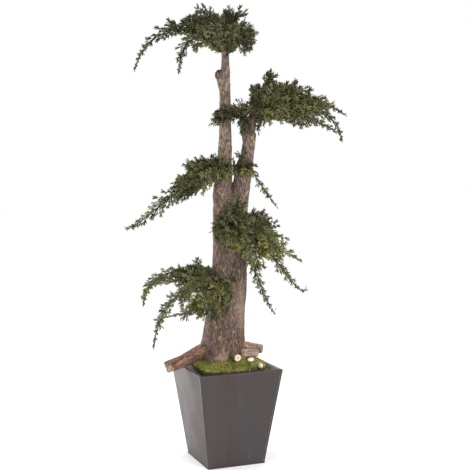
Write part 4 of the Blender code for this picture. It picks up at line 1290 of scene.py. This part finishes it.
@dataclass
class Foliage:
    """One pad of foliage, grown spray by spray from its limbs: its stems and twigs, and its sprigs
    and single fingers of scale leaves as roots, headings, normals and lengths."""

    name: str
    pad: Pad
    bark: Bark
    rng: random.Random = field(default_factory=random.Random)
    stems: list[Arrays] = field(default_factory=list)
    twigs: list[Arrays] = field(default_factory=list)
    sprigs: dict[Tint, list[tuple]] = field(default_factory=by_tint)
    singles: dict[Tint, list[tuple]] = field(default_factory=by_tint)
    # Where the sprays of the ring and of the lobes end, and how they differ.
    filler_spread: float = 0.058
    inner_spread: float = 0.048
    top_rise: float = 0.97
    rise_range: float = 1.85
    inner_size: Pair = (0.80, 1.00)
    inner_height: Pair = (-0.008, 0.035)
    # A spray's stem.
    turn_off: float = 0.012
    lift_share: float = 0.35
    hang_share: float = 0.12
    stem_points: int = 28
    stem_tip_radius: float = 0.0012
    # How the light falls on a twig.
    mean_light: float = 0.55
    shade_inside: float = 0.25
    shade_outside: float = 0.35
    shade_along: float = 0.25
    shade_above: float = 0.30
    light_spread: float = 0.42
    # The twigs along a stem.
    twig_angle: float = math.radians(42)
    twig_closing: float = 0.30
    twig_flatness: float = 0.85
    twig_roll: float = 0.6
    twig_reach: Pair = (0.75, 1.15)
    twig_radius: float = 0.0013
    twig_taper: Triple = (1.0, 0.8, 0.5)
    twig_margin: float = 0.004
    lobe_limit: float = 1.10
    shortening: float = 0.75
    # The sprigs along a twig, and in their own lengths, from where it has any and its last one.
    sprig_spacing: float = 0.0128
    sprig_angle: float = math.radians(36)
    sprig_turn: Pair = (0.75, 1.2)
    sprig_lean: float = 0.35
    sprig_length: float = 0.033
    sprig_size: Pair = (0.75, 1.1)
    sprig_taper: float = 0.3
    forward: float = 0.65
    twig_from: float = 1.3
    last_sprig: float = 0.85
    # The leaves that cover a stem and its end.
    cover_spacing: float = 0.0052
    cover_length: float = 0.0205
    cover_size: Pair = (0.85, 1.15)
    cover_angle: float = math.radians(23)
    cover_turn: Pair = (0.6, 1.2)
    last_turn: float = 0.2
    fan_length: float = 0.026
    end_share: float = 0.97
    end_length: float = 0.028
    # The fingers of scale leaves.
    finger_width: float = 0.0065
    finger_depth: float = 0.7
    finger_belly: float = 0.62
    side_degrees: Pair = (19, 31)
    side_lean: float = 0.3
    side_size: Pair = (0.8, 1.2)
    leaf_margin: float = 0.001
    # Each finger on the side of a sprig: its place along it, its side and its size.
    side_fingers: ClassVar[tuple[Triple, ...]] = (
        (0.08, 1, 0.80), (0.26, -1, 0.74), (0.46, 1, 0.60))

    def sprays(self) -> dict[str, Tuft]:
        """List the pad's sprays: the ones that reach out, its ring, and its fine ones.

        Returns:
            The sprays by name.
        """
        pad, found = self.pad, dict(self.pad.sprays)
        centre, half = Vector(pad.centre), Vector(pad.half)
        for i, azimuth in enumerate(pad.ring):
            angle = math.radians(azimuth)
            tip = centre + Vector((half.x * math.cos(angle), half.y * math.sin(angle),
                                   -0.5 * half.z))
            found[f"filler_{i + 1}"] = Tuft(pad.height, azimuth, tuple(tip), half.z, half.z * 0.9,
                                            self.filler_spread)
        found.update({f"sprig_{i + 1}": spray for i, spray in enumerate(pad.sprigs)})
        return found

    def inner_sprays(self, lobe: Lobe) -> list[Tuft]:
        """List the finer sprays that end all over a lobe's upper and outer sides.

        Args:
            lobe: The lobe.

        Returns:
            Its sprays.
        """
        centre, half = Vector(lobe.centre), Vector(lobe.half)
        limb = lobe.limb or self.pad.limb
        found = []
        for i in range(lobe.count):
            rise = self.top_rise - self.rise_range * (i + 0.5) / lobe.count
            angle = i * GOLDEN_ANGLE
            flat = math.sqrt(1 - rise * rise)
            size = self.rng.uniform(*self.inner_size)
            tip = centre + Vector((half.x * flat * math.cos(angle), half.y * flat * math.sin(angle),
                                   half.z * rise)) * size
            height = lobe.height + self.rng.uniform(*self.inner_height)
            root = self.bark.start(limb, height, 0.0)[0]
            azimuth = math.degrees(math.atan2(tip.y - root.y, tip.x - root.x))
            drop = half.z * (0.35 - max(rise, -0.6)) * 0.9
            found.append(Tuft(height, azimuth, tuple(tip), half.z * 0.6, drop, self.inner_spread,
                              limb=limb))
        return found

    def course(self, spray: Tuft) -> list[Vector]:
        """Lay out a spray's stem: straight off the bark, then an arch that falls to the tip.

        Args:
            spray: The spray.

        Returns:
            Points along the stem.
        """
        start, out = self.bark.start(spray.limb or self.pad.limb, spray.height, spray.azimuth)
        turn_off = start + out * self.turn_off
        tip = Vector(spray.tip)
        flat = Vector((tip.x - turn_off.x, tip.y - turn_off.y, 0.0))
        lift = turn_off + flat * self.lift_share + Vector((0.0, 0.0, spray.arch))
        hang = tip - flat * self.hang_share + Vector((0.0, 0.0, spray.drop))
        leaves = self.cover_length if isinstance(spray, Tail) else self.fan_length
        tip -= (tip - hang).normalized() * leaves
        points = [start - out * self.turn_off]
        for i in range(self.stem_points):
            t = i / (self.stem_points - 1)
            points.append(turn_off * (1 - t) ** 3 + lift * 3 * t * (1 - t) ** 2
                          + hang * 3 * t * t * (1 - t) + tip * t ** 3)
        return points

    def tint(self, point: Vector, share: float) -> Tint:
        """Deal a tint to a twig: lighter low down and inside the pad, darker towards the tips.

        Args:
            point: The twig's place.
            share: How far along its stem it grows.

        Returns:
            The tint.
        """
        away, half = point - Vector(self.pad.centre), Vector(self.pad.half)
        out = math.sqrt((away.x / half.x) ** 2 + (away.y / half.y) ** 2 + (away.z / half.z) ** 2)
        light = (self.mean_light + self.pad.light - self.shade_inside * min(out, 1.0)
                 - self.shade_outside * min(max(out - 1.0, 0.0), 0.8) - self.shade_along * share)
        light -= self.shade_above * away.z / half.z * (out < 1.5)
        light += self.rng.uniform(-self.light_spread, self.light_spread)
        return next(tint for tint in reversed(Tint) if light > tint.value.least_light)

    def add_branchlet(self, root: Vector, heading: Vector, side: Vector, forward: Vector,
                      tint: Tint, reach: float) -> None:
        """Grow a branchlet: one sprig, or a twig with sprigs in turn on both sides and on its end.

        Args:
            root: Its root.
            heading: Its direction.
            side: The direction across it in the plane of its spray.
            forward: The direction of the stem, which its sprigs lean towards.
            tint: The tint of its leaves.
            reach: Its length with its leaves.
        """
        normal = heading.cross(side).normalized()
        if reach < self.twig_from * self.sprig_length:
            self.sprigs[tint].append((root, heading, normal, reach))
            return
        end = root + heading * (reach - self.last_sprig * self.sprig_length)
        line = np.array([tuple(root), tuple(root.lerp(end, 0.5)), tuple(end)])
        self.twigs.append((line, np.array(self.twig_taper) * self.twig_radius))
        count = max(1, round((end - root).length / self.sprig_spacing))
        for i in range(count):
            share = (i + 0.4) / count
            hand = 1 if i % 2 else -1
            angle = self.sprig_angle * self.rng.uniform(*self.sprig_turn)
            way = heading * math.cos(angle) + side * hand * math.sin(angle)
            way = (way + normal * self.rng.uniform(-self.sprig_lean, self.sprig_lean)
                   + forward * self.forward).normalized()
            grown = (self.sprig_length * self.rng.uniform(*self.sprig_size)
                     * (1.0 - self.sprig_taper * share))
            self.sprigs[tint].append((root.lerp(end, share), way, normal, grown))
        self.sprigs[tint].append((end, heading, normal, self.last_sprig * self.sprig_length))

    def grow(self, spray: Tuft, lobe: Lobe | None = None) -> None:
        """Grow one spray: its stem, the branchlets along it, and the leaves that cover it.

        Args:
            spray: The spray.
            lobe: The lobe that an inner spray stays inside.
        """
        points = self.course(spray)
        rng = self.rng
        habit = INNER if lobe else REACHING
        radii = np.linspace(habit.stem_radius, self.stem_tip_radius, len(points))
        self.stems.append((np.array([tuple(p) for p in points]), radii))
        steps = np.array([(b - a).length for a, b in zip(points, points[1:])])
        along = np.concatenate([[0.0], np.cumsum(steps)])
        length = along[-1]
        turn = rng.uniform(0.0, math.tau)

        def station(share: float) -> tuple[Vector, Vector, Vector, Vector]:
            """Find a place on the stem.

            Args:
                share: How far along the stem it is, from 0 to 1.

            Returns:
                The place, and the directions along, beside and above the stem there.
            """
            i = min(int(np.searchsorted(along, share * length, side="right")) - 1, len(steps) - 1)
            place = points[i].lerp(points[i + 1], (share * length - along[i]) / steps[i])
            tangent = (points[i + 1] - points[i]).normalized()
            level = tangent.cross(Vector((0.0, 0.0, 1.0)))
            level = level.normalized() if level.length > 0.1 else Vector((1.0, 0.0, 0.0))
            return place, tangent, level, level.cross(tangent).normalized()

        count = max(3, int(length * (habit.last - habit.first) / habit.spacing))
        for k in range(count + 1):
            share = habit.first + (habit.last - habit.first) * k / count
            place, tangent, level, upward = station(share)
            turn += GOLDEN_ANGLE
            aside = level * math.cos(turn) + upward * self.twig_flatness * math.sin(turn)
            aside.normalize()
            angle = self.twig_angle * (1.0 - self.twig_closing * share)
            heading = tangent * math.cos(angle) + aside * math.sin(angle)
            heading.z += habit.lift * (1 - share)
            heading.normalize()
            reach = spray.half_width(share) / math.sin(angle) * rng.uniform(*self.twig_reach)
            if lobe:
                reach = self.keep_inside(lobe, place, heading, reach)
            if not self.bark.is_clear(place + heading * reach, self.twig_margin):
                continue
            side = (tangent - heading * tangent.dot(heading)).normalized()
            side += heading.cross(side) * rng.uniform(-self.twig_roll, self.twig_roll)
            side.normalize()
            tint = self.tint(place + heading * reach, share)
            self.add_branchlet(place, heading, side, tangent, tint, reach)

        count = int(length * (1 - habit.leafy_from) / self.cover_spacing)
        tint = self.tint(points[-1], 1.0)
        for k in range(count + 1):
            share = habit.leafy_from + (1 - habit.leafy_from) * k / count
            place, tangent, level, upward = station(min(share, 0.9999))
            turn += GOLDEN_ANGLE
            aside = level * math.cos(turn) + upward * math.sin(turn)
            angle = self.cover_angle * (
                self.last_turn if k == count else rng.uniform(*self.cover_turn))
            way = tangent * math.cos(angle) + aside * math.sin(angle)
            grown = self.cover_length * rng.uniform(*self.cover_size)
            self.singles[tint].append((place, way, upward, grown))
        if isinstance(spray, Tail):
            place, tangent, _, upward = station(self.end_share)
            self.sprigs[tint].append((place, tangent, upward, self.end_length))

    def keep_inside(self, lobe: Lobe, place: Vector, heading: Vector, reach: float) -> float:
        """Shorten a branchlet that would leave its lobe.

        Args:
            lobe: The lobe.
            place: The branchlet's root.
            heading: Its direction.
            reach: Its length.

        Returns:
            The length that stays inside, or a small one where none does.
        """
        for _ in range(5):
            away = place + heading * reach - Vector(lobe.centre)
            if sum((offset / half) ** 2 for offset, half in zip(away, lobe.half)) < self.lobe_limit:
                break
            reach *= self.shortening
        return reach

    def fingers(self, tint: Tint) -> Arrays:
        """Make the plump fingers of scale leaves of one tint, four to a sprig.

        Args:
            tint: The tint.

        Returns:
            Points and triangles of all the fingers.
        """
        count, shoots = len(self.sprigs[tint]), self.sprigs[tint] + self.singles[tint]
        dice = np.random.default_rng(count)
        roots, ways, normals = ([np.array([tuple(shoot[i]) for shoot in shoots])]
                                for i in range(3))
        lengths = [np.array([shoot[3] for shoot in shoots])]
        root, way, normal, length = (rows[0][:count] for rows in (roots, ways, normals, lengths))
        side = unit(np.cross(normal, way))
        for share, hand, size in self.side_fingers:
            angle = np.radians(dice.uniform(*self.side_degrees, count))[:, None]
            lean = dice.uniform(-self.side_lean, self.side_lean, count)[:, None]
            roots.append(root + way * (length * share)[:, None])
            ways.append(unit(way * np.cos(angle) + side * hand * np.sin(angle) + normal * lean))
            normals.append(normal)
            lengths.append(length * size * dice.uniform(*self.side_size, count))
        root, way, normal, length = (np.concatenate(rows)
                                     for rows in (roots, ways, normals, lengths))
        keep = np.array([self.bark.is_clear(Vector(tip), self.leaf_margin)
                         for tip in root + way * length[:, None]])
        root, way, normal, length = root[keep], way[keep], normal[keep], length[keep]
        side = unit(np.cross(normal, way))
        width = self.finger_width * (0.45 + 0.55 * np.minimum(length / self.sprig_length, 1.0)) / 2
        belly = root + way * (length * self.finger_belly)[:, None]
        across = side * width[:, None]
        over = np.cross(way, side) * (width * self.finger_depth)[:, None]
        points = np.stack([root, belly + across, belly + over, belly - across, belly - over,
                           root + way * length[:, None]], axis=1)
        shape = [(0, i % 4 + 1, (i - 1) % 4 + 1) for i in range(4)]
        shape += [(5, (i - 1) % 4 + 1, i % 4 + 1) for i in range(4)]
        return repeat_shape(points, shape)

    def build(self, leaves: dict[Tint, bpy.types.Material], twigs: bpy.types.Material) -> None:
        """Grow the pad and make its pieces.

        Args:
            leaves: A material for each tint.
            twigs: The material of the stems and twigs.
        """
        for key, spray in self.sprays().items():
            self.rng.seed(f"{self.name}.{key}.{spray.seed}")
            self.grow(spray)
        for i, lobe in enumerate(self.pad.lobes):
            self.rng.seed(f"{self.name}.lobe_{i}.{lobe.seed}")
            for spray in self.inner_sprays(lobe):
                self.grow(spray, lobe)
        stems, fine = tubes(self.stems, 5), tubes(self.twigs, 3)
        points = np.concatenate([stems[0], fine[0]])
        triangles = np.concatenate([stems[1], fine[1] + len(stems[0])])
        finish_piece(mesh_from_arrays(to_row(points), triangles), self.name + "_twigs",
                     twigs, tuple(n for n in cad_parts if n.startswith(self.name + "_")))
        for tint in Tint:
            if self.sprigs[tint] or self.singles[tint]:
                points, triangles = self.fingers(tint)
                finish_piece(mesh_from_arrays(to_row(points), triangles),
                             f"{self.name}_{tint.value.name}_leaves", leaves[tint])


def repeat_shape(points: np.ndarray, shape: list[tuple[int, int, int]]) -> Arrays:
    """Give every part of many the same triangles.

    Args:
        points: The points of each part, as an array of parts, points and coordinates.
        shape: The triangles of one part.

    Returns:
        Points and triangles of all the parts.
    """
    starts = np.arange(len(points)) * points.shape[1]
    triangles = np.array(shape)[None] + starts[:, None, None]
    return points.reshape(-1, 3), triangles.reshape(-1, 3)


def tubes(lines: list[Arrays], sides: int) -> Arrays:
    """Make closed tapering tubes along lines that have equally many points.

    Args:
        lines: Each line's points and radii.
        sides: The number of sides of a tube.

    Returns:
        Points and triangles of all the tubes.
    """
    path, radii = (np.stack([line[i] for line in lines]) for i in range(2))
    count = path.shape[1]
    tangent = unit(np.gradient(path, axis=1))
    chord = unit(path[:, -1] - path[:, 0])
    guide = np.where(np.abs(chord[:, 2:3]) < 0.9, [[0.0, 0.0, 1.0]], [[1.0, 0.0, 0.0]])
    across = unit(np.cross(tangent, np.repeat(guide[:, None], count, axis=1)))
    upper = np.cross(across, tangent)
    angle = (np.arange(sides) * math.tau / sides)[:, None]
    ring = across[:, :, None] * np.cos(angle) - upper[:, :, None] * np.sin(angle)
    points = path[:, :, None] + ring * radii[:, :, None, None]
    shape = []
    for level in range(count - 1):
        for i in range(sides):
            a, b = level * sides + i, level * sides + (i + 1) % sides
            shape += [(a, b, b + sides), (a, b + sides, a + sides)]
    last = (count - 1) * sides
    for i in range(1, sides - 1):
        shape += [(0, i + 1, i), (last, last + i, last + i + 1)]
    return repeat_shape(points.reshape(len(lines), -1, 3), shape)


@dataclass
class Crown:
    """All the pads of foliage."""

    pads: dict[str, Pad]

    def build(self) -> None:
        """Grow every pad."""
        bark = Bark()
        leaves = {tint: tint.value.material() for tint in Tint}
        twigs = TWIG_BARK.material()
        for name, pad in self.pads.items():
            Foliage(name, pad, bark).build(leaves, twigs)


# Moss and pebbles


class MossTint(Enum):
    """The tints of the moss: three dealt out by patches, and a dark one that paints shadow on the
    mound's sides and along its low edge by the rim.
    """

    SHADED = dried_moss("shaded", "#7b7f34", "#62612e")
    VIVID = dried_moss("vivid", "#a6af43", "#858e38")
    STRAW = dried_moss("straw", "#b59a66", "#947550")
    EARTHY = dried_moss("earthy", "#4f4a2a", "#3f3823")


@dataclass
class Ground:
    """The mound of moss with its standing fronds, and the white pebbles half sunk in it."""

    fronds: int = 12000
    frond_length: float = 0.011
    frond_width: float = 0.0022
    frond_patch_mm: float = 38.0
    frond_lean: float = 0.55
    patch_spread: float = 0.30
    seed: int = 31
    gathered_from: float = -0.070
    gathered_to: float = 0.74
    # Fronds lower than this take the dark tint of painted shadow.
    edge_height: float = 0.4490
    voxel: float = 0.0030
    lump_mm: float = 12.0
    small_lump_mm: float = 5.0
    lump_height_mm: float = 1.6
    # The values of the patches that the moss turns from each tint to the next at.
    turns: ClassVar[Triple] = (-0.12, 0.36, math.inf)

    def mound(self) -> bpy.types.Object:
        """Model the felted body of the moss over its solid.

        Returns:
            The mound's object.
        """
        thing = copy_nodes("moss")
        apply_modifier(thing, "REMESH", mode="VOXEL", voxel_size=self.voxel)
        apply_modifier(thing, "SMOOTH", factor=0.5, iterations=4)
        points = points_of(thing)
        lumps = noise_at(points / (self.lump_mm * MM))
        lumps += 0.6 * noise_at(points / (self.small_lump_mm * MM))
        points += points_of(thing, "normal") * (lumps * self.lump_height_mm * MM)[:, None]
        points[:, 2] = np.maximum(points[:, 2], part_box("moss")[0].z)
        own = to_own(points)
        own[:, 0] -= np.minimum(own[:, 0] - self.gathered_from, 0.0) * (1 - self.gathered_to)
        set_points(thing, to_row(own))
        shade_smooth(thing)
        return thing

    def tuft(self, places: np.ndarray, normals: np.ndarray, dice: np.random.Generator) -> Arrays:
        """Make fronds: small leaning blades of three faces.

        Args:
            places: Their roots.
            normals: The directions that they stand in.
            dice: The source of their differences.

        Returns:
            Points and triangles of all the fronds.
        """
        count = len(places)
        way = unit(normals + dice.normal(0.0, self.frond_lean, (count, 3)))
        side = unit(np.cross(way, dice.normal(0.0, 1.0, (count, 3))))
        length = (self.frond_length * dice.uniform(0.45, 1.1, count))[:, None]
        width = (self.frond_width * dice.uniform(0.6, 1.2, count))[:, None]
        rows = [places + side * width - way * width, places - side * width - way * width,
                places + np.cross(side, way) * width, places + way * length]
        return repeat_shape(np.stack(rows, axis=1), [(0, 1, 3), (1, 2, 3), (2, 0, 3), (0, 2, 1)])

    def build(self) -> None:
        """Model the moss and the pebbles."""
        mound = self.mound()
        dice = np.random.default_rng(self.seed)
        points, normals = points_of(mound), points_of(mound, "normal")
        chosen = dice.choice(np.nonzero(normals[:, 2] > 0.0)[0], self.fronds)
        places = points[chosen] + dice.normal(0.0, MM, (self.fronds, 3))
        patch = noise_at(places / (self.frond_patch_mm * MM))
        patch += dice.normal(0.0, self.patch_spread, self.fronds)
        # Fronds below the edge height get the dark tint: painted shadow along the moss's low edge
        # by the rim.
        patch[places[:, 2] < self.edge_height] = math.inf
        # The mound itself takes the same dark tint: painted shadow on its sides.
        finish_piece(mound, "moss_mound", MossTint.EARTHY.value.material(), ("moss",))
        for band, tint in enumerate(MossTint):
            members = np.digitize(patch, self.turns) == band
            blades = self.tuft(places[members], normals[chosen][members], dice)
            finish_piece(mesh_from_arrays(*blades), tint.name.lower() + "_moss_fronds",
                         tint.value.material())
        stone = WHITE_STONE.material()
        for name in sorted(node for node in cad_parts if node.startswith("pebble")):
            pebble = copy_nodes(name)
            apply_modifier(pebble, "SUBSURF", levels=2, render_levels=2)
            bpy.ops.object.shade_smooth()
            finish_piece(pebble, "white_" + name, stone, (name,))


# The studio


@dataclass
class Studio:
    """A pale floor, soft light from large boxes, and the camera at the picture's angle."""

    camera_place: Triple = (0.044, -4.63, 1.443)
    pitch: float = math.radians(4.75)
    focal_px: float = 1000.0
    picture_px: float = 470.0
    sensor_mm: float = 36.0
    floor_side: float = 40.0
    # Each softbox: its place and aim in the tree's own frame, its width and height, and its watts.
    boxes: ClassVar[dict[str, tuple]] = {
        "front_right_box": ((2.4, -3.2, 3.0), (0.0, 0.0, 1.1), (2.2, 2.2), 130.0),
        "back_left_box": ((-2.4, 1.2, 0.9), (0.0, 0.0, 0.6), (1.4, 1.8), 75.0),
    }

    def hang(self, name: str, data: bpy.types.ID, place: Triple) -> bpy.types.Object:
        """Hang a light or a camera.

        Args:
            name: Its name.
            data: Its settings.
            place: Where it hangs in the tree's own frame.

        Returns:
            Its object.
        """
        thing = bpy.data.objects.new(name, data)
        bpy.context.collection.objects.link(thing)
        thing.location = TURN @ Vector(place)
        return thing

    def build(self) -> None:
        """Set the floor, the lights and the camera."""
        bpy.ops.mesh.primitive_plane_add(size=self.floor_side)
        floor = bpy.context.object
        floor.name = "studio_floor"
        floor.data.materials.append(Look("pale_studio_floor", "#ffffff", 1.0).material)
        world = bpy.data.worlds.new("white_studio")
        world.use_nodes = True
        world.node_tree.nodes["Background"].inputs["Color"].default_value = srgb("#ffffff")
        world.node_tree.nodes["Background"].inputs["Strength"].default_value = 1.0
        bpy.context.scene.world = world
        for name, (place, aim, size, power) in self.boxes.items():
            light = bpy.data.lights.new(name, "AREA")
            light.shape = "RECTANGLE"
            light.size, light.size_y = size
            light.energy = power
            thing = self.hang(name, light, place)
            way = TURN @ Vector(aim) - thing.location
            thing.rotation_euler = way.to_track_quat("-Z", "Y").to_euler()
            thing.visible_camera = False
        camera = bpy.data.cameras.new("picture_camera")
        camera.lens = self.focal_px / self.picture_px * self.sensor_mm
        camera.sensor_width = self.sensor_mm
        thing = self.hang("picture_camera", camera, self.camera_place)
        thing.rotation_euler = (math.pi / 2 - self.pitch, 0.0, TREE_TURN)
        bpy.context.scene.camera = thing
        bpy.context.scene.view_settings.view_transform = "Standard"


def main() -> None:
    """Build every part of the scene in order."""
    logging.basicConfig(level=logging.INFO, format="%(name)s: %(message)s")
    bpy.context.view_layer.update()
    for part in (Planter(), Wood(), Crown(PADS), Ground(), Studio()):
        part.build()


if __name__ == "__main__":
    main()
